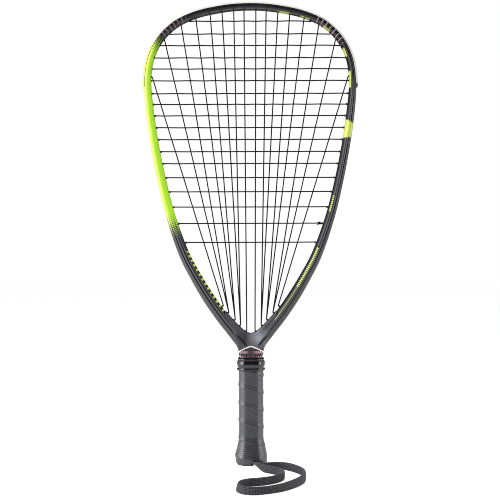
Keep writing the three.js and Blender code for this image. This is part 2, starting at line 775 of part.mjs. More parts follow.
// Handle sections: an octagon with a point at each corner and at the middle of each flat
function handleRing(halfWidth, halfDepth, height, roundness = 0, raise = () => 0) {
  const flatX = halfWidth * gripFlatShare;
  const flatY = halfDepth - (halfWidth - flatX);
  const corners = [
    [halfWidth, -flatY], [halfWidth, flatY], [flatX, halfDepth], [-flatX, halfDepth],
    [-halfWidth, flatY], [-halfWidth, -flatY], [-flatX, -halfDepth], [flatX, -halfDepth],
  ];
  const ring = [];
  corners.forEach(([x, y], i) => {
    const [nextX, nextY] = corners[(i + 1) % corners.length];
    ring.push([x, y], [(x + nextX) / 2, (y + nextY) / 2]);
  });
  return ring.map(([x, y], k) => {
    const reach = Math.hypot(x, y);
    const [cos, sin] = [x / reach, y / reach];
    const round = 1 / Math.hypot(cos / halfWidth, sin / halfDepth);
    const grown = THREE.MathUtils.lerp(reach, round, roundness) + raise(k / ring.length);
    return new THREE.Vector3(cos * grown, sin * grown, height);
  });
}

function handleLoft(levels) {
  const rings = levels.map(([width, depth, height]) => handleRing(width, depth, height));
  return loft(rings, false, rings[0].map(({ x, y }) => new THREE.Vector2(x, y)));
}

// Half width of the grip's outside by height: the straight handle flares out over the butt
function gripHalfAt(height) {
  if (height >= flareTop) {
    return gripHalfWidth;
  }
  if (height >= flareHeight) {
    const share = (flareTop - height) / (flareTop - flareHeight);
    const eased = THREE.MathUtils.lerp(
      share * share, THREE.MathUtils.smoothstep(share, 0, 1), flareCurveShare);
    return THREE.MathUtils.lerp(gripHalfWidth, flareHalfWidth, eased);
  }
  const share = (flareHeight - height) / flareHeight;
  const footHalf = flareHalfWidth - wrapThickness;
  return THREE.MathUtils.lerp(flareHalfWidth, footHalf, share * share);
}
const depthLess = gripHalfWidth - gripHalfDepth;
const flareHeights = flareHeightShares.map((share) => Math.min(
  gripBottom + share * (flareHeight - gripBottom),
  flareTop,
));
flareHeights.push(flareTop);

function buildGripWrap() {
  const overlapAt = (height) => (share) => {
    const turn = height / wrapPitch + share;
    const phase = turn - Math.floor(turn);
    return wrapOverlapRise * Math.max(0, 1 - phase / wrapLapShare);
  };
  const innerHeights = [...flareHeights, gripTop];
  const outer = [];
  const inner = [];
  for (let i = 0; i <= wrapLevels; i += 1) {
    const height = THREE.MathUtils.lerp(gripBottom, gripTop, i / wrapLevels);
    const half = gripHalfAt(height);
    outer.push(handleRing(half, half - depthLess, height, 0, overlapAt(height)));
  }
  for (const height of innerHeights) {
    const core = gripHalfAt(height) - wrapThickness;
    inner.push(handleRing(core, core - depthLess, height));
  }
  const solid = toSolid(loft([...outer, ...inner.reverse()], true));
  return toGeometry(solid.subtract(toSolid(cordMouth())));
}

const coreHalfWidth = gripHalfWidth - wrapThickness - slipGap;
const coreHalfDepth = gripHalfDepth - wrapThickness - slipGap;
const socketHalfWidth = coreHalfWidth - capWall;
const socketHalfDepth = coreHalfDepth - capWall;

// Room in the butt's foot where the cord's two ends come in from the front
function cordMouth() {
  const low = new THREE.Vector3(mouthCentre - mouthHalfWidth, -flareHalfWidth - cutOverrun, -cutOverrun);
  const high = new THREE.Vector3(
    mouthCentre + mouthHalfWidth,
    -mouthDepth,
    cordWidth + cordLift + 2 * fitGap,
  );
  return slab(low, high);
}

function screwHole(side, reachIn) {
  const outer = new THREE.Vector3(side * (flareHalfWidth + cutOverrun), 0, screwHeight);
  const inner = new THREE.Vector3(side * reachIn, 0, screwHeight);
  return toSolid(screwPin(inner, outer, screwShankRadius + fitGap));
}

function screwPin(from, to, radius) {
  const length = from.distanceTo(to);
  const cylinder = new THREE.CylinderGeometry(radius, radius, length, screwSides);
  cylinder.rotateZ(Math.PI / 2);
  cylinder.translate((from.x + to.x) / 2, 0, from.z);
  return cylinder;
}

function buildButtCap() {
  const under = wrapThickness + slipGap;
  const levels = [0, ...flareHeights].map((height) => {
    const half = gripHalfAt(Math.max(height, gripBottom)) - under;
    return [half, half - depthLess, height];
  });
  const socket = handleLoft([
    [socketHalfWidth + slipGap, socketHalfDepth + slipGap, capFloor],
    [socketHalfWidth + slipGap, socketHalfDepth + slipGap, flareTop + cutOverrun],
  ]);
  let solid = toSolid(handleLoft(levels)).subtract(toSolid(socket)).subtract(toSolid(cordMouth()));
  for (const side of sides) {
    solid = solid.subtract(screwHole(side, 0));
    const seat = screwSeat(side);
    solid = solid.subtract(toSolid(screwPin(seat.clone(), new THREE.Vector3(
      side * (flareHalfWidth + cutOverrun), 0, screwHeight,
    ), screwHeadRadius + fitGap)));
  }
  return toGeometry(solid);
}

// Where a butt cap screw's head seats, inside the cap's wall
function screwSeat(side) {
  return new THREE.Vector3(side * (socketHalfWidth + slipGap + capWall), 0, screwHeight);
}

function buildScrew(side) {
  const seat = screwSeat(side).addScaledVector(new THREE.Vector3(side, 0, 0), fitGap);
  const headHeight = screwHeadHeightShare * screwHeadRadius;
  const profile = [
    ...screwShankShares.map(([r, h]) => new THREE.Vector2(r * screwShankRadius, -h * screwLength)),
    ...screwHeadShares.map(([r, h]) => new THREE.Vector2(r * screwHeadRadius, h * headHeight)),
  ];
  const screw = new THREE.LatheGeometry(profile, screwSides);
  screw.rotateZ(-side * Math.PI / 2);
  screw.translate(...seat.toArray());
  return screw;
}

// One half of the handle's pallet: front is negative Y
function buildPallet(face) {
  const body = toSolid(handleLoft([
    [coreHalfWidth, coreHalfDepth, flareTop + fitGap],
    [coreHalfWidth, coreHalfDepth, palletTop],
  ]));
  const spigot = toSolid(handleLoft([
    [socketHalfWidth, socketHalfDepth, palletBottom],
    [socketHalfWidth, socketHalfDepth, flareTop + fitGap],
  ]));
  const shaftRoom = new THREE.Vector3(shaftHalfWidth + 2 * fitGap, shaftHalfDepth + slipGap, 0);
  const room = toSolid(slab(
    new THREE.Vector3(-shaftRoom.x, -shaftRoom.y, palletBottom - cutOverrun),
    new THREE.Vector3(shaftRoom.x, shaftRoom.y, palletTop + cutOverrun),
  ));
  const other = toSolid(slab(
    new THREE.Vector3(-flareHalfWidth, face * fitGap / 2, palletBottom - cutOverrun),
    new THREE.Vector3(flareHalfWidth, -face * flareHalfWidth, palletTop + cutOverrun),
  ));
  let solid = body.add(spigot).subtract(room).subtract(other);
  for (const side of sides) {
    solid = solid.subtract(screwHole(side, 0));
  }
  return toGeometry(solid);
}

// Rubber collar over the top of the grip
function buildCollar() {
  const span = collarTop - collarBottom;
  const innerHalves = [
    [collarTop, throatHalfWidth + 2 * fitGap], [palletTop, throatHalfWidth + fitGap],
    [gripTop + fitGap, coreHalfWidth + slipGap + tapeThickness + fitGap],
    [gripTop + fitGap, gripHalfWidth + wrapOverlapRise + slipGap],
    [collarBottom, gripHalfWidth + wrapOverlapRise + slipGap],
  ];
  const outer = collarWallShares.map(([rise, share]) => {
    const half = collarHalfWidth * share;
    return handleRing(half, half - depthLess, collarBottom + span * rise, collarRoundShare);
  });
  const inner = innerHalves.map(([height, half]) => handleRing(half, half - depthLess, height, 0));
  return loft([...outer, ...inner], true);
}

// Finishing tape round the pallet above the end of the wrap
function buildTape() {
  const low = coreHalfWidth + slipGap;
  const [bottom, top] = [gripTop + fitGap + fitGap, gripTop + tapeHeight];
  const rings = [
    [low + tapeThickness, bottom], [low + tapeThickness, top], [low, top], [low, bottom],
  ].map(([half, height]) => handleRing(half, half - depthLess, height));
  return loft(rings, true);
}

// Wrist cord: flat webbing that stands on its edge, with both ends knotted inside the butt cap
function buildCord() {
  const middle = cordLift + cordWidth / 2;
  const route = new THREE.CatmullRomCurve3(
    cordRoute.map(([x, y]) => new THREE.Vector3(x, y, middle)), false, 'centripetal',
  );
  const [halfHeight, halfThick] = [cordWidth / 2, cordThickness / 2];
  const edge = cordEdgeShare * cordThickness;
  const section = new THREE.Shape([
    new THREE.Vector2(-halfHeight, -halfThick + edge), new THREE.Vector2(-halfHeight + edge, -halfThick),
    new THREE.Vector2(halfHeight - edge, -halfThick), new THREE.Vector2(halfHeight, -halfThick + edge),
    new THREE.Vector2(halfHeight, halfThick - edge), new THREE.Vector2(halfHeight - edge, halfThick),
    new THREE.Vector2(-halfHeight + edge, halfThick), new THREE.Vector2(-halfHeight, halfThick - edge),
  ]);
  return new THREE.ExtrudeGeometry(section, {
    steps: cordSteps, extrudePath: route, bevelEnabled: false,
  });
}

function buildKnot() {
  const [firstEnd] = cordRoute;
  const halfDepth = knotHalfWidth * knotDepthShare;
  const halfHeight = cordWidth * knotHeightShare;
  const knot = new THREE.IcosahedronGeometry(1, 1);
  knot.scale(knotHalfWidth, halfDepth, halfHeight);
  knot.translate(knotCentre, firstEnd[1] + fitGap + halfDepth, capFloor + fitGap + halfHeight);
  return knot;
}

addPiece('frame', buildFrame(), palette.graphite);
addPiece('bumper_guard', buildBumper(), palette.bumper);
addPiece('grommet_strip_left', buildSideStrip(-1), palette.nylon);
addPiece('grommet_strip_right', buildSideStrip(1), palette.nylon);
for (const { hole, side, position } of throatHoles) {
  const name = `throat_grommet_${side < 0 ? 'left' : 'right'}_${position + 1}`;
  addPiece(name, buildThroatGrommet(hole), palette.nylon);
}
addPiece('main_string', tubeThrough(mainString(), stringRadius, stringSides), palette.string);
addPiece('cross_string', tubeThrough(crossString(), stringRadius, stringSides), palette.string);
addPiece('pallet_front', buildPallet(-1), palette.pallet);
addPiece('pallet_back', buildPallet(1), palette.pallet);
addPiece('butt_cap', buildButtCap(), palette.cap);
addPiece('butt_cap_screw_left', buildScrew(-1), palette.steel);
addPiece('butt_cap_screw_right', buildScrew(1), palette.steel);
addPiece('grip_wrap', buildGripWrap(), palette.grip);
addPiece('finishing_tape', buildTape(), palette.tape);
addPiece('grip_collar', buildCollar(), palette.collar);
addPiece('wrist_cord', buildCord(), palette.webbing);
addPiece('wrist_cord_knot', buildKnot(), palette.webbing);

export default racket;
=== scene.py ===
# Racquetball racket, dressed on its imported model: metres, +Z up the racket, string bed in XZ.
import math

import bpy
import numpy as np
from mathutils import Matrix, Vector


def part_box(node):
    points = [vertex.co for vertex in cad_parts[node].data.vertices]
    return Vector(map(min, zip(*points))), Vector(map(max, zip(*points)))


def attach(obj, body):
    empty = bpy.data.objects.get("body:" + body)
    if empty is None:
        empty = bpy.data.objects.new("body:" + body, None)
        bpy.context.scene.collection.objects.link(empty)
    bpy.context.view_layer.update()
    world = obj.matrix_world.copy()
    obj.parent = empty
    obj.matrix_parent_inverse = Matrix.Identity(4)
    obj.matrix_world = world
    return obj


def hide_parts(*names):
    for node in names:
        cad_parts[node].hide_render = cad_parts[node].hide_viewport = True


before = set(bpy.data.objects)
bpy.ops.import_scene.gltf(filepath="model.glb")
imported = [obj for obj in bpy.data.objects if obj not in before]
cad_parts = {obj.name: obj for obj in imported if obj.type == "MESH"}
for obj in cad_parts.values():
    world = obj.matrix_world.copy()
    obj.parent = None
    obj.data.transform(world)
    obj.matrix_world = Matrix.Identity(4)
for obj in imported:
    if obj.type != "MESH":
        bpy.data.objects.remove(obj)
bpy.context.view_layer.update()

MM = 0.001

# Head and beam
head_half_width = 128.2 * MM
frame_top = 556.8 * MM
bumper_proud = 2.0 * MM
fit_gap = 0.3 * MM
slip_gap = 0.25 * MM
cut_overrun = 2.0 * MM
beam_width = 14.5 * MM
beam_depth = 24 * MM
channel_depth = 2.8 * MM
channel_mouth_half = 3.9 * MM
channel_floor_half = 3.5 * MM
shaft_groove_depth = 0.4 * MM
head_foot = 141 * MM
head_foot_share = 0.2532
channel_fade_bottom = 133 * MM
shaft_half_width = 9.2 * MM
shaft_half_depth = 6.2 * MM
shaft_slit = 0.5 * MM
shaft_end = 16 * MM
shaft_bend_top = 131 * MM
shaft_bend_foot = 120.5 * MM
shaft_straight_top = 108 * MM
throat_half_width = 14.4 * MM
throat_flare = 2.1 * MM
edge_step = 1.9 * MM

# Strings and grommets
string_radius = 0.65 * MM
string_drawn = 0.74 * MM
string_sides = 10
string_step = 1.1 * MM
weave_rise = string_radius + fit_gap / 2
lane_offset = string_radius + fit_gap * 0.7
strand_spacing = 2 * string_radius + 2 * fit_gap
tail_length = 6 * MM
run_up_length = 1.2 * MM
bend_setback = 0.9 * MM
mouth_setback = 0.7 * MM
bore_radius = 0.85 * MM
barrel_radius = 1.25 * MM
hole_radius = 2.05 * MM
strip_thickness = 0.8 * MM
side_barrel_proud = 2.2 * MM
top_barrel_proud = 0.9 * MM
throat_barrel_proud = 2.0 * MM
outward_weight = 1.8
bumper_end_share = 0.820
strip_top_share = 0.815
strip_foot_share = 0.455
lane_depth = channel_depth - slip_gap - strip_thickness - fit_gap - string_radius

# Handle
grip_half_width = 14.8 * MM
grip_half_depth = 13.0 * MM
grip_flat_share = 0.565
grip_top = 114.5 * MM
grip_bottom = 1.2 * MM
wrap_thickness = 1.5 * MM
wrap_pitch = 21 * MM
wrap_overlap_rise = 0.75 * MM
flare_half_width = 19.2 * MM
flare_height = 9.5 * MM
flare_top = 34.6 * MM
collar_top = 128.2 * MM
collar_bottom = 113.2 * MM
collar_half_width = 16.9 * MM
pallet_top = 119 * MM
depth_less = grip_half_width - grip_half_depth

# Wrist cord
cord_width = 9.4 * MM
cord_thickness = 2.0 * MM
cord_lift = 0.1 * MM

# Outer edge of the beam, right half, from the top centre to the throat: shares of the head's
# half width and of the frame's top height
outline_shares = [
    (0, 1), (0.172, 0.9981), (0.328, 0.9929), (0.472, 0.9857), (0.597, 0.9756), (0.702, 0.9634),
    (0.792, 0.9470), (0.870, 0.9273), (0.931, 0.9034), (0.973, 0.8764), (0.994, 0.8468),
    (1, 0.8154), (0.992, 0.7813), (0.954, 0.7112), (0.881, 0.6196), (0.790, 0.5325),
    (0.660, 0.4454), (0.5645, 0.4018), (0.4565, 0.3583), (0.327, 0.3143), (0.2, 0.2765),
]
# By share of height: the beam's width and depth, and its groove's place across it, as shares
beam_shares = [
    (1.00, 0.45, 0.83, 0.475), (0.90, 0.48, 0.85, 0.43), (0.84, 0.53, 0.87, 0.40),
    (0.78, 0.635, 0.89, 0.38), (0.70, 0.665, 0.91, 0.38), (0.62, 0.695, 0.93, 0.38),
    (0.54, 0.735, 0.95, 0.38), (0.465, 0.82, 0.97, 0.40), (0.36, 0.96, 1.00, 0.46),
    (0.29, 1.00, 1.00, 0.49), (0.25, 0.87, 0.97, 0.60), (0.236, 0.81, 0.93, 0.62),
]
# Half of the beam's section from the inner wall to the channel, as place across and rise: a
# crowned inner lobe, a fine groove and a flatter outer facet
section_shares = [
    (1.00, 0.40), (0.94, 0.66), (0.86, 0.83), (0.74, 0.96), (0.62, 1.00), (0.54, 0.985),
    (0.50, 0.905), (0.455, 0.90), (0.41, 0.95), (0.34, 0.935), (0.22, 0.85), (0.12, 0.74),
    (0.04, 0.60), (0.00, 0.45),
]
# Main strings of one half, outermost first: aim point at the top and mouth at the throat
main_top_shares = [
    (0.961, 0.844), (0.828, 0.927), (0.6555, 0.958), (0.513, 0.9725),
    (0.382, 0.980), (0.2605, 0.984), (0.1515, 0.986), (0.0505, 0.987),
]
main_mouth_shares = [
    (0.2775, 0.3412), (0.2262, 0.3263), (0.2262, 0.3263), (0.1646, 0.3112),
    (0.1646, 0.3112), (0.1131, 0.2983), (0.1131, 0.2983), (0.0546, 0.2866),
]
throat_mains = [[0], [1, 2], [3, 4], [5, 6], [7]]
throat_exit_shares = [0.3285, 0.3120, 0.2955, 0.2790, 0.2660]
cross_shares = [
    0.9634, 0.9355, 0.9104, 0.8836, 0.8594, 0.8337, 0.8057, 0.7822, 0.7574,
    0.7315, 0.7055, 0.6792, 0.6532, 0.6225, 0.5918, 0.5585, 0.5228, 0.4815,
]
bumper_rows = 6
tie_row = 16
main_count = 2 * len(main_top_shares)

# Route of the wrist cord on the floor, in millimetres, from the mouth of the butt cap round its
# loop and back
cord_route = [
    (9.2, -8.6), (9.2, -14), (9.5, -19.5), (13.5, -25.5), (22.5, -29.5), (34.5, -34.5), (46, -44),
    (54.5, -57.5), (59.5, -72), (60.5, -87.5), (57.5, -103), (51, -118), (42, -132), (31, -144),
    (17.5, -153.5), (3, -157.5), (-9.5, -152), (-14.8, -140), (-12.5, -127.5), (-3, -119.5),
    (9, -116), (20, -110), (29.5, -101), (35.6, -90), (36.6, -77.5), (31.8, -66), (23, -57.5),
    (14.5, -49), (9.2, -39), (6.2, -28), (4.4, -18), (4.0, -8.6),
]

# Camera at the photograph's place: level with the middle of the picture
camera_distance = 1.2
camera_height = 0.2588
camera_x = -0.79 * MM
camera_roll = 0.003
picture_width = 0.6065
sensor_width = 36
nearest_seen = 10 * MM


def place_camera():
    bpy.ops.object.camera_add(
        location=(camera_x, -camera_distance, camera_height),
        rotation=(math.pi / 2, camera_roll, 0))
    camera = bpy.context.object
    camera.name = "photo_camera"
    camera.data.sensor_width = sensor_width
    camera.data.lens = sensor_width * camera_distance / picture_width
    camera.data.clip_start = nearest_seen
    bpy.context.scene.camera = camera


def clear_selection():
    if bpy.context.object and bpy.context.object.mode != "OBJECT":
        bpy.ops.object.mode_set(mode="OBJECT")
    bpy.ops.object.select_all(action="DESELECT")


def pick(*pieces):
    clear_selection()
    for piece in pieces:
        piece.select_set(True)
    bpy.context.view_layer.objects.active = pieces[0]


# Numbers and curves
tiny = 1e-9


def share_between(value, low, high):
    return min(max((value - low) / (high - low), 0), 1)


def smooth_step(value, low, high):
    share = share_between(value, low, high)
    return share * share * (3 - 2 * share)


def mix(low, high, share):
    return low + (high - low) * share


def evenly(start, end, steps):
    """Values from start to end in equal steps, both ends with them"""
    return [mix(start, end, i / steps) for i in range(steps + 1)]


def heading(path, i):
    return (path[min(i + 1, len(path) - 1)] - path[max(i - 1, 0)]).normalized()


def run_lengths(path):
    """Distance along a path at each of its points"""
    lengths = [0]
    for here, after in zip(path, path[1:]):
        lengths.append(lengths[-1] + (after - here).length)
    return lengths


def span_points(before, start, end, after, steps):
    """Points from start towards end on a centripetal curve through four points"""
    d0, d1, d2 = (
        max((there - here).length, tiny) ** 0.5
        for here, there in ((before, start), (start, end), (end, after)))
    leave = ((start - before) / d0 - (end - before) / (d0 + d1) + (end - start) / d1) * d1
    reach = ((end - start) / d1 - (after - start) / (d1 + d2) + (after - end) / d2) * d1
    square = (end - start) * 3 - leave * 2 - reach
    cube = (start - end) * 2 + leave + reach
    return [
        start + leave * t + square * (t * t) + cube * (t * t * t)
        for t in (i / steps for i in range(steps))
    ]


def smooth_path(points, step):
    """A centripetal curve through points, with a point about every step"""
    ends = [points[0] * 2 - points[1], *points, points[-1] * 2 - points[-2]]
    path = []
    for before, start, end, after in zip(ends, ends[1:], ends[2:], ends[3:]):
        steps = max(1, round((end - start).length / step))
        path += span_points(before, start, end, after, steps)
    return [*path, points[-1].copy()]


# The beam: stations along the outer edge of the right half
def height_at(share):
    return mix(head_foot, frame_top, (share - head_foot_share) / (1 - head_foot_share))


def in_table(shares):
    return Vector((shares[0] * head_half_width, 0, height_at(shares[1])))


def share_by_height(height, column):
    key = mix(head_foot_share, 1, (height - head_foot) / (frame_top - head_foot))
    for high, low in zip(beam_shares, beam_shares[1:]):
        if key > low[0] or low is beam_shares[-1]:
            return mix(low[column], high[column], share_between(key, low[0], high[0]))


def edge_of_beam():
    points = [in_table(shares) for shares in outline_shares]
    points += [
        Vector((throat_half_width + throat_flare, 0, head_foot)),
        Vector((throat_half_width, 0, shaft_bend_top)),
        Vector((shaft_half_width + fit_gap, 0, shaft_bend_foot)),
        Vector((shaft_half_width, 0, shaft_straight_top)),
    ]
    echo = Vector((-points[1].x, 0, points[1].z))
    path = smooth_path([echo, *points], edge_step)
    first_quarter = range(len(path) // 4)
    return path[min(first_quarter, key=lambda i: abs(path[i].x)):]


def make_stations():
    edge = edge_of_beam()
    stations = []
    for i, along in enumerate(run_lengths(edge)):
        point = edge[i]
        tangent = heading(edge, i) if i else Vector((1, 0, 0))
        neck = smooth_step(point.z, shaft_bend_foot, shaft_bend_top)
        fade = smooth_step(point.z, channel_fade_bottom, head_foot)
        width = beam_width * share_by_height(point.z, 1)
        depth = beam_depth * share_by_height(point.z, 2)
        stations.append({
            "along": along,
            "point": point,
            "outward": Vector((-tangent.z, 0, tangent.x)),
            "downward": tangent,
            "width": mix(shaft_half_width - shaft_slit, width, neck),
            "depth": mix(2 * shaft_half_depth, depth, neck),
            "groove": share_by_height(point.z, 3),
            "channel": mix(shaft_groove_depth, channel_depth, fade),
            "opening": mix(2 * shaft_half_depth / beam_depth, 1, neck),
        })
    return stations


stations = make_stations()
station_alongs = np.array([station["along"] for station in stations])
edge_length = station_alongs[-1]


def beam_at(along):
    """The beam at a signed distance along its edge from the top centre: positive is right"""
    reach = min(abs(along), edge_length)
    i = int(np.clip(np.searchsorted(station_alongs, reach) - 1, 0, len(stations) - 2))
    low, high = stations[i], stations[i + 1]
    share = (reach - low["along"]) / (high["along"] - low["along"])
    found = {key: mix(low[key], high[key], share) for key in low}
    found["along"] = along
    if along < 0:
        for key in ("point", "outward", "downward"):
            found[key].x *= -1
    return found


def along_at_height(height):
    for station in stations:
        if station["point"].z <= height:
            return station["along"]
    return edge_length


def on_beam(station, outward, depthwise):
    place = station["point"] + station["outward"] * outward
    return Vector((place.x, depthwise, place.z))


def ring_on_beam(station, section):
    return [on_beam(station, outward, depthwise) for outward, depthwise in section]


def alongs_between(start, end, step=edge_step):
    return evenly(start, end, max(1, round(abs(end - start) / step)))


# Grommet holes and the strings' way through them
def lane_at(along, lane):
    return on_beam(beam_at(along), -lane_depth, lane)


def hole_on_way(origin, direction, lane, proud):
    side = -1 if direction.x < 0 or origin.x < 0 else 1
    best = None
    for near in stations:
        station = beam_at(side * near["along"])
        centre = station["point"] - station["outward"] * (station["width"] / 2)
        to_centre = centre - origin
        ahead = to_centre.dot(direction)
        off = (to_centre - direction * ahead).length
        if ahead > 0 and (best is None or off < best[0]):
            best = (off, station, centre)
    _, station, centre = best
    axis = (direction + station["outward"] * outward_weight).normalized()
    slope = axis.dot(station["outward"])
    leave = centre + axis * ((station["width"] / 2 - lane_depth) / slope)
    mouth = centre - axis * (station["width"] / 2 / slope + proud)
    leave.y = lane
    mouth.y = lane
    drift = (leave - station["point"]).dot(station["downward"])
    return {
        "axis": axis, "exit": leave, "mouth": mouth, "lane": lane, "station": station,
        "along": station["along"] + side * drift, "strands": 1,
    }


def throat_hole(side, mouth_place, exit_height, lane, strands):
    along = side * along_at_height(exit_height)
    leave = lane_at(along, lane)
    entry = Vector((side * mouth_place.x, lane, mouth_place.z))
    axis = (leave - entry).normalized()
    return {
        "axis": axis, "exit": leave, "mouth": entry - axis * throat_barrel_proud, "lane": lane,
        "station": beam_at(along), "along": along, "strands": strands,
    }


def bring_level(hole, height, side):
    """Moves a hole along the beam until its mouth is level with its string"""
    way = hole["station"]["downward"]
    distance = (height - hole["mouth"].z) / way.z
    hole["mouth"] = hole["mouth"] + way * distance
    hole["exit"] = hole["exit"] + way * distance
    hole["along"] += side * distance


def spread_of(hole):
    return strand_spacing / 2 if hole["strands"] > 1 else 0


def strand_through(end):
    hole, shift = end
    across = Vector((0, shift, 0))
    return {
        "mouth": hole["mouth"] + across - hole["axis"] * mouth_setback,
        "bend": hole["exit"] + across - hole["axis"] * bend_setback,
        "lane": hole["lane"] + shift,
        "along": hole["along"],
    }


throat_holes = []
main_bottoms = {}
for side in (-1, 1):
    for position, ranks in enumerate(throat_mains):
        mouth_place = in_table(main_mouth_shares[ranks[0]])
        exit_height = height_at(throat_exit_shares[position])
        lane = 0 if len(ranks) > 1 else -side * lane_offset
        hole = throat_hole(side, mouth_place, exit_height, lane, len(ranks))
        throat_holes.append((hole, side, position))
        for strand, rank in enumerate(ranks):
            main = rank if side < 0 else main_count - 1 - rank
            shift = -side * strand_spacing * (0.5 - strand) if len(ranks) > 1 else 0
            main_bottoms[main] = (hole, shift)

main_tops = []
for main in range(main_count):
    side = -1 if main < main_count / 2 else 1
    aim = in_table(main_top_shares[main if side < 0 else main_count - 1 - main])
    aim.x *= side
    start = main_bottoms[main][0]["mouth"].copy()
    start.y = 0
    way = (aim - start).normalized()
    main_tops.append((hole_on_way(start, way, -side * lane_offset, top_barrel_proud), 0))

cross_heights = [height_at(share) for share in cross_shares]
cross_ends = []
for row, height in enumerate(cross_heights):
    ends = []
    for side in (-1, 1):
        proud = top_barrel_proud if row < bumper_rows else side_barrel_proud
        origin = Vector((0, 0, height))
        hole = hole_on_way(origin, Vector((side, 0, 0)), side * lane_offset, proud)
        bring_level(hole, height, side)
        tied = row == tie_row and side > 0
        hole["strands"] = 2 if tied else 1
        ends.append((hole, strand_spacing / 2 if tied else 0))
    cross_ends.append(ends)
all_holes = [hole for hole, _, _ in throat_holes] + [hole for hole, _ in main_tops]
all_holes += [hole for ends in cross_ends for hole, _ in ends]


def lane_between(here, after):
    start, end = here["along"], after["along"]
    way = 1 if end > start else -1
    first, last = start + way * bend_setback, end - way * bend_setback
    points = []
    for along in alongs_between(first, last, 3 * edge_step):
        share = (along - first) / (last - first)
        points.append(lane_at(along, mix(here["lane"], after["lane"], share)))
    return points


def tail_from(strand, way, lane):
    """A string's end in the trough, from its tip to the grommet"""
    return [lane_at(strand["along"] + way * reach, lane) for reach in (tail_length, bend_setback)]


def crossings(mains, rows, lift):
    """Points of a string over and under the others, lifted one way and then the other"""
    points = []
    for main in mains:
        top = strand_through(main_tops[main])["mouth"]
        bottom = strand_through(main_bottoms[main])["mouth"]
        for row in rows:
            share = (cross_heights[row] - bottom.z) / (top.z - bottom.z)
            if 0 < share < 1:
                rise = lift if (main + row) % 2 == 1 else -lift
                points.append(Vector((mix(bottom.x, top.x, share), rise, cross_heights[row])))
    return points


def run_up(crossing, mouth):
    """Keeps a string straight from its last crossing until just before a grommet's mouth"""
    length = (mouth - crossing).length
    if length < 3 * run_up_length:
        return []
    points = []
    for share in (run_up_length / length, 1 - run_up_length / length):
        point = crossing.lerp(mouth, share)
        point.y = mix(crossing.y, mouth.y, smooth_step(share, 0, 1))
        points.append(point)
    return points


def through_bed(start, woven, end):
    """A string from the bend outside one grommet, over the bed, to the bend outside another"""
    first = run_up(woven[0], start["mouth"])[::-1]
    last = run_up(woven[-1], end["mouth"])
    return [start["bend"], start["mouth"], *first, *woven, *last, end["mouth"], end["bend"]]


def main_route():
    route = tail_from(strand_through(main_tops[0]), -1, lane_offset)
    for main in range(main_count):
        woven = crossings([main], range(len(cross_heights)), weave_rise)
        top, bottom = strand_through(main_tops[main]), strand_through(main_bottoms[main])
        down = through_bed(top, woven, bottom)
        goes_down = main % 2 == 0
        route += down if goes_down else down[::-1]
        if main < main_count - 1:
            table = main_bottoms if goes_down else main_tops
            route += lane_between(*(strand_through(table[i]) for i in (main, main + 1)))
    return route + tail_from(strand_through(main_tops[-1]), 1, -lane_offset)[::-1]


def cross_route():
    route = tail_from(strand_through(cross_ends[0][1]), 1, lane_offset)
    for row, ends in enumerate(cross_ends):
        left, right = (strand_through(end) for end in ends)
        woven = crossings(range(main_count), [row], -weave_rise)
        woven = [point for point in woven if left["mouth"].x < point.x < right["mouth"].x]
        across = through_bed(left, woven, right)
        goes_left = row % 2 == 0
        route += across[::-1] if goes_left else across
        if row < len(cross_ends) - 1:
            end = 0 if goes_left else 1
            route += lane_between((left, right)[end], strand_through(cross_ends[row + 1][end]))
    hole, shift = cross_ends[tie_row][1]
    back = strand_through((hole, -shift))
    route += lane_between(strand_through(cross_ends[-1][1]), back)
    return [*route, back["bend"], back["mouth"]], back["mouth"], hole["axis"]


# Meshes: a grid wrapped round rings, a pin between two points, joins and cuts
weld_reach = 0.001 * MM
pin_sides = 18
rounding_segments = 2
frame_crease = 32
nylon_crease = 35
handle_crease = 50
string_crease = 60


def weld(piece, ends_closed):
    pick(piece)
    bpy.ops.object.mode_set(mode="EDIT")
    bpy.ops.mesh.select_all(action="SELECT")
    bpy.ops.mesh.remove_doubles(threshold=weld_reach)
    if ends_closed:
        bpy.ops.mesh.fill_holes(sides=0)
    bpy.ops.mesh.select_all(action="SELECT")
    bpy.ops.mesh.normals_make_consistent(inside=False)
    bpy.ops.object.mode_set(mode="OBJECT")


def wrap_grid(name, rings, ends_closed=True, turns=None, lengths=None):
    """A grid wrapped round rings of equal count: UV is the way round and the way along"""
    rows, columns = len(rings) - 1, len(rings[0])
    clear_selection()
    bpy.ops.mesh.primitive_grid_add(x_subdivisions=columns, y_subdivisions=rows, size=1)
    piece = bpy.context.object
    piece.name = name
    mesh = piece.data
    flat = np.empty(len(mesh.vertices) * 3)
    mesh.vertices.foreach_get("co", flat)
    flat = flat.reshape(-1, 3)
    column = np.rint((flat[:, 0] + 0.5) * columns).astype(int) % columns
    row = np.rint((flat[:, 1] + 0.5) * rows).astype(int)
    places = np.array([[tuple(point) for point in ring] for ring in rings])
    mesh.vertices.foreach_set("co", places[row, column].ravel())
    layer = mesh.uv_layers[0]
    uv = np.empty(len(layer.uv) * 2)
    layer.uv.foreach_get("vector", uv)
    uv = uv.reshape(-1, 2)
    for axis, count, values in ((0, columns, turns), (1, rows, lengths)):
        if values is not None:
            steps = np.rint(uv[:, axis] * count)
            uv[:, axis] = np.interp(steps, np.arange(count + 1), values)
    layer.uv.foreach_set("vector", uv.ravel())
    mesh.update()
    weld(piece, ends_closed)
    return piece


def mark_all(piece, across, along):
    """The same place in the UV map for the whole of a piece"""
    for loop in piece.data.uv_layers[0].uv:
        loop.vector = (across, along)


def apply_modifier(piece, kind, **settings):
    pick(piece)
    modifier = piece.modifiers.new(kind.lower(), kind)
    for key, value in settings.items():
        setattr(modifier, key, value)
    bpy.ops.object.modifier_apply(modifier=modifier.name)


def join(pieces):
    pick(*pieces)
    bpy.ops.object.join()
    return bpy.context.object


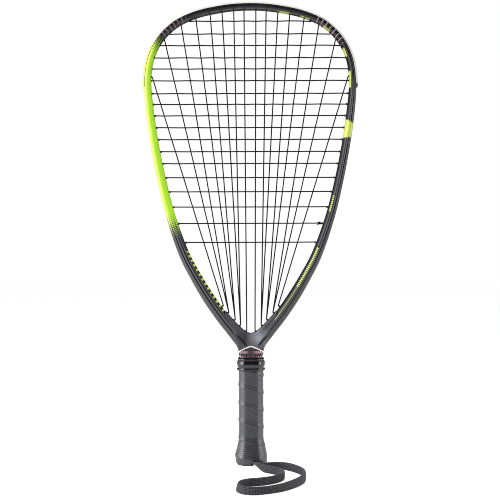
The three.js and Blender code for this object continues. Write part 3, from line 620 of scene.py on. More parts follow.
def cut_or_add(piece, other, operation):
    apply_modifier(piece, "BOOLEAN", object=other, operation=operation, solver="MANIFOLD")
    bpy.data.objects.remove(other, do_unlink=True)


def pin(start, end, radius, half_spread=0, sides=pin_sides, rounding=0):
    """A pin from a cylinder, made longer in depth where two strands share it"""
    clear_selection()
    bpy.ops.mesh.primitive_cylinder_add(vertices=sides, radius=1, depth=1)
    piece = bpy.context.object
    axis = (end - start).normalized()
    across = Vector((0, 1, 0)).cross(axis).normalized()
    depthwise = axis.cross(across).normalized()
    length = (end - start).length
    middle = (start + end) / 2
    for vertex in piece.data.vertices:
        x, y, z = vertex.co
        reach = y * radius + math.copysign(half_spread, y)
        vertex.co = middle + across * (x * radius) + depthwise * reach + axis * (z * length)
    weld(piece, False)
    if rounding:
        apply_modifier(piece, "BEVEL", width=rounding, segments=rounding_segments)
    return piece


def finish(piece, crease, material, slot, *nodes):
    """Smooth shading, material, body and the nodes that the piece stands for; slot is not used"""
    piece.data.materials.clear()
    piece.data.materials.append(material)
    pick(piece)
    bpy.ops.object.shade_smooth_by_angle(angle=math.radians(crease))
    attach(piece, "root")
    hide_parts(*nodes)


# Frame: the beam's sections, and the web between its two arms
section_groove = 0.475
section_rounding = 0.7 * MM
corner_reach_share = 0.42
# The lime's two ends along the beam: where it begins to show and where it is solid. Under it the
# groove is filled to these rises, by their place across
lime_ends = [(-116 * MM, -150 * MM), (-376 * MM, -341 * MM)]
filled_shares = {0.50: 0.972, 0.455: 0.962}
channel_mark = -0.5
# UV place of the web between the arms: clear of the print, inside the painted highlight of the inner
# lobe
web_uv_share = 0.7
web_uv_along = 2 * edge_length
leg_steps = 12
yoke_top_shares = [(0.026, 0.2832), (0.070, 0.2907), (0.149, 0.3082), (0.240, 0.3320)]
yoke_side_shares = (0.200, 0.3095)
yoke_foot_share = 0.095
yoke_columns = 60
yoke_blend = 0.8 * MM
yoke_half_depth = 11.3 * MM
yoke_rounding = 3.0 * MM
yoke_rounding_steps = 6
web_foot = 122 * MM
web_half_width = 4.2 * MM
web_rows = 12


def round_corners(ring, reach, steps=2):
    """A closed flat ring with each corner turned into an arc of a few points"""
    out = []
    for i, corner in enumerate(ring):
        corner = Vector(corner)
        start, end = (
            corner.lerp(beside, min(reach / max((beside - corner).length, tiny), corner_reach_share))
            for beside in (Vector(ring[i - 1]), Vector(ring[(i + 1) % len(ring)])))
        for t in evenly(0, 1, steps):
            out.append(start.lerp(corner, t).lerp(corner.lerp(end, t), t))
    return out


def mirrored(half):
    """A section from its half on one side of the strings: pairs outward and in depth"""
    return half + [(outward, -depthwise) for outward, depthwise in reversed(half)]


def section_of(station):
    """The beam's section with its channel, and its groove where no lime fills it"""
    groove, width = station["groove"], station["width"]
    filled = min(smooth_step(station["along"], end, start) for end, start in lime_ends)
    half = []
    for share, rise in section_shares:
        rise = mix(rise, filled_shares.get(share, rise), filled)
        if share < section_groove:
            share = share * groove / section_groove
        else:
            share = mix(groove, 1, (share - section_groove) / (1 - section_groove))
        half.append((-share * width, rise * station["depth"] / 2))
    opening = station["opening"]
    half += [(0, channel_mouth_half * opening), (-station["channel"], channel_floor_half * opening)]
    return round_corners(mirrored(half), section_rounding)


def shares_across(station):
    """Place of each of a ring's points across the beam: 0 its outer edge, 1 its inner wall"""
    shares = []
    for outward, depthwise in section_of(station):
        beside = abs(depthwise) < channel_mouth_half + fit_gap
        in_channel = beside and -outward < station["width"] / 2
        shares.append(channel_mark if in_channel else -outward / station["width"])
    return [*shares, shares[0]]


def yoke():
    """Web between the two arms, its top edge level in the middle and then along each arm"""
    top = [in_table(shares) for shares in yoke_top_shares]
    side, foot = in_table(yoke_side_shares), yoke_foot_share * head_half_width
    reaches = [0, *(place.x for place in top)]
    highs = [top[0].z, *(place.z for place in top)]
    foot_reaches = [0, foot, side.x, top[-1].x]
    lows = [shaft_bend_top, shaft_bend_top, side.z, top[-1].z - 2 * yoke_rounding]
    deep = yoke_half_depth
    rings = []
    for x in evenly(-top[-1].x, top[-1].x, yoke_columns):
        high = float(np.interp(abs(x), reaches, highs))
        high += yoke_blend * math.exp(-((abs(x) - top[0].x) / (2 * yoke_blend)) ** 2)
        low = float(np.interp(abs(x), foot_reaches, lows))
        edge = [(low, -deep), (high, -deep), (high, deep), (low, deep)]
        edge = round_corners(edge, yoke_rounding, yoke_rounding_steps)
        rings.append([Vector((x, y, z)) for z, y in edge])
    web = wrap_grid("yoke", rings)
    rings = []
    for height in evenly(web_foot, shaft_bend_top + yoke_rounding, web_rows):
        neck = smooth_step(height, shaft_bend_foot, shaft_bend_top)
        reach, deep = web_half_width, mix(shaft_half_depth, yoke_half_depth, neck) - fit_gap
        edge = [(-reach, -deep), (reach, -deep), (reach, deep), (-reach, deep)]
        rings.append([Vector((x, y, height)) for x, y in round_corners(edge, fit_gap)])
    cut_or_add(web, wrap_grid("throat_web", rings), "UNION")
    mark_all(web, web_uv_share, web_uv_along)
    return web


def leg_below(station, way):
    """Stations of a straight leg inside the handle, from its end up to the beam's last station"""
    place = station["point"]
    return [
        {**station, "point": Vector((place.x, 0, height)), "outward": Vector((way, 0, 0))}
        for height in evenly(shaft_end, place.z, leg_steps)[:-1]
    ]


def build_frame(material):
    alongs = alongs_between(edge_length, -edge_length)
    placed = [beam_at(along) for along in alongs]
    right_leg, left_leg = leg_below(placed[0], 1), leg_below(placed[-1], -1)
    every = [*right_leg, *placed, *left_leg[::-1]]
    rings = [ring_on_beam(station, section_of(station)) for station in every]
    reach = edge_length + (placed[0]["point"].z - shaft_end)
    lengths = evenly(reach, -reach, len(rings) - 1)
    lengths[leg_steps:-leg_steps] = alongs
    turns = shares_across(placed[len(placed) // 2])
    piece = wrap_grid("racket_frame", rings, turns=turns, lengths=lengths)
    cut_or_add(piece, yoke(), "UNION")
    cutters = []
    for hole in all_holes:
        start = hole["mouth"] - hole["axis"] * cut_overrun
        end = hole["exit"] + hole["axis"] * (cut_overrun + lane_depth)
        cutters.append(pin(start, end, hole_radius, spread_of(hole)))
    cut_or_add(piece, join(cutters), "DIFFERENCE")
    finish(piece, frame_crease, material, "graphite", "frame")


# Bumper guard and grommets
side_words = {-1: "left", 1: "right"}
bumper_end = along_at_height(height_at(bumper_end_share))
# Lip that hugs the beam's outer facet: outward and in depth, from under it round to its crest
bumper_lip = [
    (0.3 * MM, 4.9 * MM), (0.0, 6.5 * MM), (-0.6 * MM, 7.9 * MM), (-0.55 * MM, 8.5 * MM),
    (0.4 * MM, 8.0 * MM), (1.3 * MM, 6.7 * MM), (2.0 * MM, 4.9 * MM),
]
bumper_rounding = 0.35 * MM
strip_rounding = 0.2 * MM
barrel_rounding = 0.25 * MM
flange_radius = 2.0 * MM
flange_sides = 24
bore_sides = 14
barrel_mark = 2


def with_barrels(strip, holes):
    barrels, bores = [], []
    for hole in holes:
        axis, mouth, spread_half = hole["axis"], hole["mouth"], spread_of(hole)
        foot = hole["exit"] - axis * (string_radius + fit_gap + strip_thickness / 2)
        barrels.append(pin(mouth, foot, barrel_radius, spread_half, rounding=barrel_rounding))
        start, end = mouth - axis * cut_overrun, hole["exit"] + axis * string_radius
        bores.append(pin(start, end, bore_radius, spread_half, bore_sides))
    for pins, operation in ((join(barrels), "UNION"), (join(bores), "DIFFERENCE")):
        mark_all(pins, barrel_mark, 0)
        cut_or_add(strip, pins, operation)
    return strip


def strip_along(name, start, end, ring, rounding):
    alongs = alongs_between(start, end)
    rounded = round_corners(ring, rounding)
    rings = [ring_on_beam(beam_at(along), rounded) for along in alongs]
    return wrap_grid(name, rings, lengths=alongs)


def build_bumper(material):
    floor = -(channel_depth - slip_gap)
    half = [
        (floor, channel_floor_half - fit_gap),
        (fit_gap, channel_mouth_half - fit_gap),
        *bumper_lip,
        (bumper_proud, channel_mouth_half - fit_gap),
        (floor + strip_thickness, lane_offset + string_radius + fit_gap),
    ]
    strip = strip_along("head_bumper", -bumper_end, bumper_end, mirrored(half), bumper_rounding)
    holes = [hole for hole, _ in main_tops]
    holes += [hole for ends in cross_ends[:bumper_rows] for hole, _ in ends]
    piece = with_barrels(strip, holes)
    finish(piece, nylon_crease, material, "bumper", "bumper_guard")


def build_side_strip(side, material):
    word = side_words[side]
    start, end = (
        side * along_at_height(height_at(share)) for share in (strip_top_share, strip_foot_share))
    floor = -(channel_depth - slip_gap)
    half = channel_floor_half - fit_gap
    ring = mirrored([(floor, half), (floor + strip_thickness, half)])
    strip = strip_along(f"side_grommets_{word}", start, end, ring, strip_rounding)
    holes = [ends[0 if side < 0 else 1][0] for ends in cross_ends[bumper_rows:]]
    piece = with_barrels(strip, holes)
    finish(piece, nylon_crease, material, "nylon", f"grommet_strip_{word}")


def build_throat_grommet(hole, side, position, material):
    place = f"{side_words[side]}_{position + 1}"
    station = hole["station"]
    foot = station["point"] - station["outward"] * (channel_depth - slip_gap)
    foot.y = hole["lane"]
    head = foot + station["outward"] * strip_thickness
    flange = pin(foot, head, flange_radius, spread_of(hole), flange_sides, strip_rounding)
    flange.name = f"throat_barrel_{place}"
    piece = with_barrels(flange, [hole])
    finish(piece, nylon_crease, material, "nylon", f"throat_grommet_{place}")


# Strings
tie_setback = 0.2 * MM
tie_length = 3.4 * MM
tie_radius = 1.25 * MM
tie_turns = 3
tie_steps_in_turn = 12
tie_drawn = string_radius * 0.9
tie_tail = [
    (-0.6 * MM, -1.4 * MM, 0.2 * MM), (-2.6 * MM, -2.0 * MM, -1.0 * MM),
    (-4.6 * MM, -1.8 * MM, -2.6 * MM),
]


def turns_round(count, start=0):
    """Angles of equal steps once round, the last step left open"""
    return [2 * math.pi * (k + start) / count for k in range(count)]


def tube_through(name, path, radius, sides):
    rings = []
    across = Vector((0, 1, 0))
    for i, point in enumerate(path):
        tangent = heading(path, i)
        across = (across - tangent * across.dot(tangent)).normalized()
        other = tangent.cross(across)
        rings.append([
            point + (across * math.cos(turn) + other * math.sin(turn)) * radius
            for turn in turns_round(sides)
        ])
    return wrap_grid(name, rings, lengths=run_lengths(path))


def build_strings(material):
    mains = tube_through("mains", smooth_path(main_route(), string_step), string_drawn, string_sides)
    finish(mains, string_crease, material, "string", "main_string")
    route, mouth, axis = cross_route()
    route.append(mouth - axis * side_barrel_proud)
    crosses = tube_through("crosses", smooth_path(route, string_step), string_drawn, string_sides)
    crosses = join([crosses, *tie_off(mouth - axis * tie_setback)])
    finish(crosses, string_crease, material, "string", "cross_string")


def tie_off(place):
    """Knot round the string below it, and its cut tail"""
    start = place - Vector((tie_length / 2, 0, 0))
    knot = []
    for k, rise in enumerate(evenly(-tie_length / 2, tie_length / 2, tie_turns * tie_steps_in_turn)):
        turn = 2 * math.pi * k / tie_steps_in_turn
        knot.append(start + Vector((rise, tie_radius * math.cos(turn), tie_radius * math.sin(turn))))
    tail = smooth_path([place + Vector(point) for point in tie_tail], string_step)
    return [
        tube_through("tie_knot", knot, tie_drawn, string_sides),
        tube_through("tie_tail", tail, tie_drawn, string_sides),
    ]


# Handle: an octagon with softly rounded corners, wound with an embossed wrap
core_corner = 26
grip_corner = 15
collar_corner = 14
collar_roundness = 0.2
# Roundness of the grip's octagon at the flare and above it
grip_roundness = (0.5, 0.12)
flare_softness = 0.7
octagon_girth_share = 0.93
grip_girth = 2 * math.pi * grip_half_width * octagon_girth_share
emboss_pitch = 1.5 * MM
emboss_turn = 0.35
emboss_rise = 0.24 * MM
wrap_columns = 256
wrap_rows = 300
core_rows = 12
overlap_share = 0.32
overlap_start_share = 0.035
plain_edge_share = 0.06
plain_edge_blur = 0.05
edge_flatness = 0.8
mouth_half_width = 6.9 * MM
mouth_centre = 6.9 * MM
mouth_height = 5.8 * MM
mouth_depth = 7.4 * MM
mouth_rounding = 1.2 * MM
mouth_rounding_segments = 3
collar_columns = 96
collar_step = 0.02
# The collar's wall: rise up the collar and half width, as shares
collar_wall = [
    (0.00, 0.965), (0.03, 0.99), (0.08, 1.005), (0.14, 1.00), (0.19, 0.975), (0.235, 0.945),
    (0.27, 0.955), (0.34, 0.985), (0.44, 1.002), (0.55, 1.004), (0.66, 0.995), (0.76, 0.972),
    (0.815, 0.925), (0.845, 0.915), (0.875, 0.935), (0.92, 0.95), (0.97, 0.942), (1.00, 0.905),
]


def handle_reach(half_width, turn, corner, roundness):
    """Distance from the axis to the rounded octagon in one direction"""
    half_depth = half_width - depth_less
    flat_x = half_width * grip_flat_share
    flat_y = half_depth - (half_width - flat_x)
    cos, sin = abs(math.cos(turn)), abs(math.sin(turn))
    slant = half_width + flat_y
    sides = [cos / half_width, sin / half_depth, (cos + sin) / slant]
    sharp = sum(side ** corner for side in sides) ** (-1 / corner)
    oval = 1 / math.hypot(cos / half_width, sin / half_depth)
    return mix(sharp, oval, roundness)


def handle_ring(half_width, height, columns, corner=core_corner, roundness=0, raised=None):
    ring = []
    for k, turn in enumerate(turns_round(columns)):
        reach = handle_reach(half_width, turn, corner, roundness)
        if raised:
            reach += raised(height, k / columns)
        ring.append(Vector((reach * math.cos(turn), reach * math.sin(turn), height)))
    return ring


def grip_half_at(height):
    if height >= flare_top:
        return grip_half_width
    if height >= flare_height:
        share = (flare_top - height) / (flare_top - flare_height)
        eased = mix(share * share, smooth_step(share, 0, 1), flare_softness)
        return mix(grip_half_width, flare_half_width, eased)
    share = (flare_height - height) / flare_height
    return mix(flare_half_width, flare_half_width - wrap_thickness, share * share)


def wrap_raised(height, share):
    """How far the wrap stands out: its overlap and its embossed dots, at a height and way round"""
    turn = height / wrap_pitch + share
    phase = turn - math.floor(turn)
    lap = max(0, 1 - phase / overlap_share) * smooth_step(phase, 0, overlap_start_share)
    around = share * grip_girth
    across = (height + share * wrap_pitch) / emboss_pitch
    beside = around / emboss_pitch
    first = math.sin(math.pi * (across + emboss_turn * beside))
    dots = first * math.sin(math.pi * (beside - emboss_turn * across))
    edge = 1 - edge_flatness * smooth_step(plain_edge_share - phase, 0, plain_edge_blur)
    return wrap_overlap_rise * lap + emboss_rise * max(0, dots) * edge


def build_grip(material):
    rings = []
    heights = evenly(grip_bottom, grip_top, wrap_rows)
    for height in heights:
        soft = mix(*grip_roundness, smooth_step(height, flare_height, flare_top))
        rings.append(handle_ring(
            grip_half_at(height), height, wrap_columns, grip_corner, soft, wrap_raised))
    core_heights = evenly(grip_top, grip_bottom, core_rows)
    for height in core_heights:
        rings.append(handle_ring(grip_half_at(height) - wrap_thickness, height, wrap_columns))
    rings.append(rings[0])
    turns = evenly(0, grip_girth, wrap_columns)
    lengths = [*heights, *core_heights, heights[0]]
    piece = wrap_grid("wound_grip", rings, ends_closed=False, turns=turns, lengths=lengths)
    cut_or_add(piece, cord_mouth(), "DIFFERENCE")
    finish(piece, handle_crease, material, "grip_rubber", "grip_wrap")


def cord_mouth():
    """Room in the butt's foot where the cord's two ends come in from the front"""
    low = (mouth_centre - mouth_half_width, -flare_half_width - cut_overrun, -cut_overrun)
    high = (mouth_centre + mouth_half_width, -mouth_depth, mouth_height)
    clear_selection()
    bpy.ops.mesh.primitive_cube_add(size=1)
    piece = bpy.context.object
    for vertex in piece.data.vertices:
        vertex.co = [mix(low[i], high[i], vertex.co[i] + 0.5) for i in range(3)]
    apply_modifier(piece, "BEVEL", width=mouth_rounding, segments=mouth_rounding_segments)
    return piece


def build_collar(material):
    rings = []
    for place in smooth_path([Vector((share, rise, 0)) for rise, share in collar_wall], collar_step):
        height = mix(collar_bottom, collar_top, place.y)
        rings.append(handle_ring(
            collar_half_width * place.x, height, collar_columns, collar_corner, collar_roundness))
    over_wrap = grip_half_width + wrap_overlap_rise + slip_gap
    inner = [
        (throat_half_width + 2 * fit_gap, collar_top), (throat_half_width + fit_gap, pallet_top),
        (over_wrap, grip_top + fit_gap), (over_wrap, collar_bottom),
    ]
    for half, height in inner:
        rings.append(handle_ring(half, height, collar_columns))
    rings.append(rings[0])
    piece = wrap_grid("rubber_collar", rings, ends_closed=False)
    finish(piece, handle_crease, material, "collar_rubber", "grip_collar")


# Wrist cord: flat webbing on its edge, leaning where its two ends leave the butt
cord_step = 1.2 * MM
band_points = 32
band_width_power = 0.45
band_thickness_power = 0.62
# Where the band leans off its edge: middle and reach as shares of its length, and degrees
cord_leans = [
    (0, 0.13, 74), (1, 0.11, -74), (0.34, 0.07, 24), (0.60, 0.08, 16), (0.47, 0.05, -14),
]
lean_fall = 0.8
knot_points = 120
knot_sides = 14
knot_width_share = 0.78
knot_depth_share = 0.55
knot_half_thick = 1.05 * MM
knot_half_wide = 1.5 * MM


def rounded_power(value, power):
    return math.copysign(abs(value) ** power, value)


def band_section():
    return [
        (rounded_power(math.cos(turn), band_width_power) * cord_width / 2,
         rounded_power(math.sin(turn), band_thickness_power) * cord_thickness / 2)
        for turn in turns_round(band_points, 0.5)
    ]


def cord_lean(share):
    """How far the band leans off its edge, by share of its length"""
    return sum(
        math.radians(angle) * max(0, 1 - abs(share - centre) / reach) ** lean_fall
        for centre, reach, angle in cord_leans)


def build_cord(material):
    middle = cord_lift + cord_width / 2
    path = smooth_path([Vector((x * MM, y * MM, middle)) for x, y in cord_route], cord_step)
    section = band_section()
    lengths = run_lengths(path)
    total = lengths[-1]
    upright = Vector((0, 0, 1))
    rings = []
    for i, point in enumerate(path):
        beside = heading(path, i).cross(upright).normalized()
        lean = cord_lean(lengths[i] / total)
        up = upright * math.cos(lean) + beside * math.sin(lean)
        side = beside * math.cos(lean) - upright * math.sin(lean)
        half_high = abs(math.cos(lean)) * cord_width / 2 + abs(math.sin(lean)) * cord_thickness / 2
        centre = Vector((point.x, point.y, cord_lift + half_high))
        rings.append([centre + up * x + side * y for x, y in section])
    turns = run_lengths([*rings[0], rings[0][0]])
    piece = wrap_grid("wrist_loop", rings, turns=turns, lengths=lengths)
    finish(piece, handle_crease, material, "webbing", "wrist_cord")


def build_knot(material):
    """Overhand knot of the same webbing, pulled tight inside the butt cap"""
    low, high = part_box("wrist_cord_knot")
    centre, half = (low + high) / 2, (high - low) / 2
    points = []
    for t in turns_round(knot_points):
        x = (math.sin(t) + 2 * math.sin(2 * t)) / 3 * half.x * knot_width_share
        y = -math.sin(3 * t) * half.y * knot_depth_share
        z = (math.cos(t) - 2 * math.cos(2 * t)) / 3 * half.z * knot_width_share
        points.append(centre + Vector((x, y, z)))
    rings = []
    for i, point in enumerate(points):
        tangent = (points[(i + 1) % knot_points] - points[i - 1]).normalized()
        outward = point - centre
        outward = (outward - tangent * outward.dot(tangent)).normalized()
        other = tangent.cross(outward)
        rings.append([
            point + outward * (knot_half_thick * math.cos(a)) + other * (knot_half_wide * math.sin(a))
            for a in turns_round(knot_sides)
        ])
    rings.append(rings[0])
    piece = wrap_grid("cord_knot", rings, ends_closed=False)
    finish(piece, string_crease, material, "webbing", "wrist_cord_knot")


# Tools for materials: each node lands in the tree of the sockets that feed it
def new_material(name):
    material = bpy.data.materials.new(name)
    material.use_nodes = True
    return material, material.node_tree, material.node_tree.nodes["Principled BSDF"]


def fill(node, inputs):
    """Links sockets to a node's inputs and writes plain values on them"""
    for key, value in inputs.items():
        if isinstance(value, bpy.types.NodeSocket):
            node.id_data.links.new(value, node.inputs[key])
        else:
            node.inputs[key].default_value = value


def add(tree, kind, inputs=None, **settings):
    node = tree.nodes.new(kind)
    for key, value in settings.items():
        setattr(node, key, value)
    fill(node, inputs or {})
    return node


def add_after(kind, inputs, **settings):
    fed = [value for value in inputs.values() if isinstance(value, bpy.types.NodeSocket)]
    return add(fed[0].id_data, kind, inputs, **settings)


def calc(operation, *values, clamp=False):
    inputs = dict(enumerate(values))
    return add_after("ShaderNodeMath", inputs, operation=operation, use_clamp=clamp).outputs[0]


def times(*masks):
    """The product of masks: 1 only where each of them is"""
    product = masks[0]
    for mask in masks[1:]:
        product = calc("MULTIPLY", product, mask)
    return product


def distance_from(value, centre):
    return calc("ABSOLUTE", calc("SUBTRACT", value, centre))


def ramp(value, start, end, low=0, high=1):
    """A number that runs from low to high while a value runs from start to end"""
    return add_after("ShaderNodeMapRange", {
        "Value": value, "From Min": start, "From Max": end, "To Min": low, "To Max": high,
    }).outputs[0]


def band(value, low, high, blur):
    """1 between low and high, with soft ends"""
    return times(ramp(value, low - blur, low + blur), ramp(value, high + blur, high - blur))


def dashes(along, pitch, share):
    """1 over the first share of every pitch along a way"""
    return calc("LESS_THAN", calc("FRACT", calc("DIVIDE", along, pitch)), share)


def lattice(first, second, clamp=False):
    """Product of two waves that cross"""
    return calc("MULTIPLY", calc("SINE", first), calc("SINE", second), clamp=clamp)


def blend_colour(mask, first, second, way="MIX"):
    """The second colour over the first: sockets 6 and 7 of a Mix node are its two colours"""
    inputs = {0: mask, 6: first, 7: second}
    return add_after("ShaderNodeMix", inputs, data_type="RGBA", blend_type=way).outputs[2]


def shade_of(colour, factor=1):
    return (colour[0] * factor, colour[1] * factor, colour[2] * factor, 1)


def two_tone(mask, first, second):
    return blend_colour(mask, shade_of(first), shade_of(second))


def shaded(mask, colour, low, high):
    """A colour that runs from one shade of itself to another"""
    return blend_colour(mask, shade_of(colour, low), shade_of(colour, high))


def axes_of(tree, kind):
    """X, Y and Z of the piece's own place, or of its UV map"""
    place = add(tree, "ShaderNodeTexCoord").outputs[kind]
    return add(tree, "ShaderNodeSeparateXYZ", {"Vector": place}).outputs


def bump(height, strength, depth):
    inputs = {"Height": height, "Strength": strength, "Distance": depth}
    return add_after("ShaderNodeBump", inputs).outputs[0]


# Grain that the finishes share: each gives its own grain size, blotch size and depth
grain_inputs = {"Grain Size": 900.0, "Blotch Size": 30.0, "Depth": 0.1}
grain_outputs = {"Shade": "NodeSocketFloat", "Grain": "NodeSocketFloat", "Normal": "NodeSocketVector"}
grain_depth = 0.2 * MM
grain_detail = 3.0
blotch_detail = 4.0
blotch_range = (0.3, 0.7)


def make_grain():
    """Fine grain and slow blotches of a moulded or painted skin, on the piece's own place"""
    group = bpy.data.node_groups.new("moulded_grain", "ShaderNodeTree")
    for name, value in grain_inputs.items():
        socket = group.interface.new_socket(name, in_out="INPUT", socket_type="NodeSocketFloat")
        socket.default_value = value
    for name, kind in grain_outputs.items():
        group.interface.new_socket(name, in_out="OUTPUT", socket_type=kind)
    given = group.nodes.new("NodeGroupInput").outputs
    place = add(group, "ShaderNodeTexCoord").outputs["Object"]
    fine, slow = (
        add(group, "ShaderNodeTexNoise", {
            "Vector": place, "Scale": given[size], "Detail": detail}).outputs[0]
        for size, detail in (("Grain Size", grain_detail), ("Blotch Size", blotch_detail)))
    fill(group.nodes.new("NodeGroupOutput"), {
        "Shade": slow, "Grain": fine, "Normal": bump(fine, given["Depth"], grain_depth)})
    return group


def grained(tree, grain_size, blotch_size, depth):
    """The grain's shade from 0 to 1, its fine grain and its normal"""
    made = add(tree, "ShaderNodeGroup", node_tree=grain)
    fill(made, {"Grain Size": grain_size, "Blotch Size": blotch_size, "Depth": depth})
    return made.outputs["Shade"], made.outputs["Grain"], made.outputs["Normal"]


def spread(value, low=0, high=1):
    """A number that runs from low to high with the blotches"""
    return ramp(value, *blotch_range, low, high)


# Plain finishes: colour and roughness, and where they differ from the usual, the size and depth of
# the grain, the gloss, metal and coat, and how much the colour varies
plain_finishes = {
    "black_nylon": {"colour": (0.014, 0.014, 0.015), "rough": 0.42, "size": 1200, "depth": 0.2},
    "cap_plastic": {"colour": (0.016, 0.016, 0.018), "rough": 0.5, "size": 700, "depth": 0.35},
    "collar_rubber": {
        "colour": (0.004, 0.004, 0.006), "rough": 0.18, "size": 600, "depth": 0.08, "gloss": 0.6,
        "coat": 0.3,
    },
    "pallet_foam": {"colour": (0.28, 0.27, 0.24), "rough": 0.8, "size": 420, "depth": 0.6},
    "cloth_tape": {"colour": (0.010, 0.010, 0.012), "rough": 0.65, "size": 1800, "depth": 0.5},
    "screw_steel": {"colour": (0.46, 0.46, 0.48), "rough": 0.34, "metal": 1.0, "vary": 0.08},
}
plain_blotches = 45
coat_rough = 0.12
rough_change = 0.15


def plain_material(
        name, colour, rough, size=900, depth=0.15, gloss=0.3, metal=0.0, coat=0.0, vary=0.25):
    """A moulded or metal finish with grain, slow colour change and uneven gloss"""
    material, tree, shader = new_material(name)
    shade, _, normal = grained(tree, size, plain_blotches, depth)
    fill(shader, {
        "Base Color": shaded(spread(shade), colour, 1 - vary, 1 + vary),
        "Roughness": spread(shade, rough * (1 - rough_change), rough * (1 + rough_change)),
        "Normal": normal, "Metallic": metal, "Specular IOR Level": gloss, "Coat Weight": coat,
        "Coat Roughness": coat_rough,
    })
    return material


# Paint of the frame
charcoal = (0.007, 0.007, 0.010)
# Grey of the painted highlights on the facets and in front of the throat
highlight_grey = (0.0095, 0.0095, 0.0108)
lime = (0.385, 0.76, 0.0)
pale_lime = (0.58, 0.66, 0.13)
dull_lime = (0.58, 0.68, 0.13)
bright_lime = (0.60, 0.78, 0.05)
mauve = (0.42, 0.27, 0.34)
maroon = (0.22, 0.12, 0.16)
crimson = (0.17, 0.02, 0.045)
pale_pink = (0.70, 0.47, 0.50)
chalk = (0.82, 0.82, 0.82)
paint_grain = (2200, 22, 0.05)
paint_gloss = 0.4
paint_rough = (0.28, 0.36)
charcoal_shades = (0.8, 1.25)
lime_shades = (0.94, 1.05)
# How dark the painted shade in the throat's valley and in the beam's groove is, as shares of charcoal
valley_painted_shade = 0.4
groove_painted_shade = 0.3
# Painted highlights on the facets beside the beam's groove, on its inner lobe and on the web: across
# from and to, along from and to, times the grey of the highlights
facet_highlights = [
    (0.08, 0.40, 185 * MM, 390 * MM, 4), (0.08, 0.40, 390 * MM, 700 * MM, 7),
    (0.52, 0.64, 185 * MM, 700 * MM, 12), (0.64, 0.90, 400 * MM, 560 * MM, 2),
    (0.64, 1.20, along_at_height(172 * MM), 2 * web_uv_along, 6.5),
]
facet_highlight_blur = (0.03, 12 * MM)
# Painted highlight in front of the throat, paler to the right: from and to, and blur
throat_highlight_across = (-12 * MM, 16 * MM, 7 * MM)
throat_highlight_up = (146 * MM, 161 * MM, 6 * MM)
throat_highlight_ramp = (-6 * MM, 9 * MM)
throat_highlight_tones = (3.5, 30)
# Painted shade in the valley where the two arms part, inside the painted highlight: a V that rises
# from its foot to both sides by this slope
valley_centre = 1.7 * MM
valley_slope = 1.12
valley_foot = 135.7 * MM
valley_half = 2 * MM
valley_blur = 1.2 * MM
valley_up = (143.5 * MM, 157 * MM, 2 * MM)
# Where the lime turns paler towards its outer edge, a painted highlight on the outer facet, and the
# screen of dots at its ends
lime_highlight_turn = (0.68, 0.30)
screen_pitch = 2.2 * MM
screen_width = 9.5 * MM
screen_edge = 0.08
# Painted shade in the beam's groove: across from and to, its blur, and where the lime ends along the
# beam
groove_across = (0.445, 0.505, 0.01)
groove_start = -lime_ends[1][0]
# Rows of bars: colour, start of the first, end of the last (left is negative), pitch, share drawn
bar_rows = [
    (mauve, 85.2 * MM, 130.5 * MM, 6.4 * MM, 0.2), (maroon, 79.4 * MM, -118.5 * MM, 5.9 * MM, 0.24),
]
# Painted strips: colour, start and end along the beam, from and to across it, and for a dashed
# strip its pitch and the share drawn
strips = [
    (pale_lime, 34 * MM, 51 * MM, 0.97, 1.1), (pale_lime, 64 * MM, 76 * MM, 0.97, 1.1),
    (pale_lime, 96 * MM, 107 * MM, 0.95, 1.1), (pale_lime, 136 * MM, 148 * MM, 0.87, 1.1),
    (pale_lime, 167 * MM, 188 * MM, 0.86, 1.1), (dull_lime, 443 * MM, 493 * MM, 0.70, 0.735),
    (dull_lime, 322 * MM, 342 * MM, 0.74, 0.88, 2.4 * MM, 0.6),
    (dull_lime, 389 * MM, 443 * MM, 0.65, 0.82, 2.4 * MM, 0.6),
    (bright_lime, -498 * MM, -394 * MM, 0.88, 1.1, 6.6 * MM, 0.42),
]
strip_blur = (0.3 * MM, 0.015)
whole_width = (-0.1, 1.1)
bar_overrun = 1 * MM
# Slanted patch high on the right: slant of its two ends, each end's from and to along the beam
patch_ends = [(5 * MM, 233 * MM, 270 * MM), (-2.5 * MM, 210 * MM, 248 * MM)]
patch_blur = 1.0 * MM
patch_across = (0.06, 1.1, 0.02)
# Pale arch over the throat, and the paint and dashes under it
arch_top = 142.8 * MM
arch_foot = 136.4 * MM
arch_half_width = 15.0 * MM
arch_half_height = 0.75 * MM
arch_roundness = 0.3
arch_shade = 1.6
arch_cover = 0.8
pink_ramp = (0.15, 0.55)
dash_pitch = 2.7 * MM
dash_blur = 0.15 * MM
dash_cover = 0.9
# Rows of dashes: height, half height, reach across as a share of the arch, share drawn
throat_rows = [
    (140.5 * MM, 0.7 * MM, 0.3, 0.6), (136.4 * MM, 0.85 * MM, 1.1, 0.6),
    (135.0 * MM, 0.4 * MM, 1.1, 1.0), (130.9 * MM, 0.85 * MM, 1.1, 0.6),
    (129.6 * MM, 0.4 * MM, 1.1, 1.0),
]


def lime_mask(across, along):
    """Lime over the left of the head, broken into a dot screen at both ends"""
    cover = calc("MINIMUM", *(ramp(along, fade, solid) for fade, solid in lime_ends))
    turn = math.pi / screen_pitch
    round_way = calc("MULTIPLY", across, screen_width * turn)
    way = calc("MULTIPLY", along, turn)
    waves = lattice(calc("ADD", round_way, way), calc("SUBTRACT", round_way, way))
    screen = calc("MULTIPLY_ADD", waves, 0.5, 0.5)
    dots = calc("SUBTRACT", calc("MULTIPLY", cover, 1 + screen_edge), screen)
    return ramp(dots, 0, screen_edge)


def strip_mask(across, along, start, end, low, high):
    along_blur, across_blur = strip_blur
    length = band(along, start, end, along_blur)
    return times(length, band(across, low, high, across_blur))


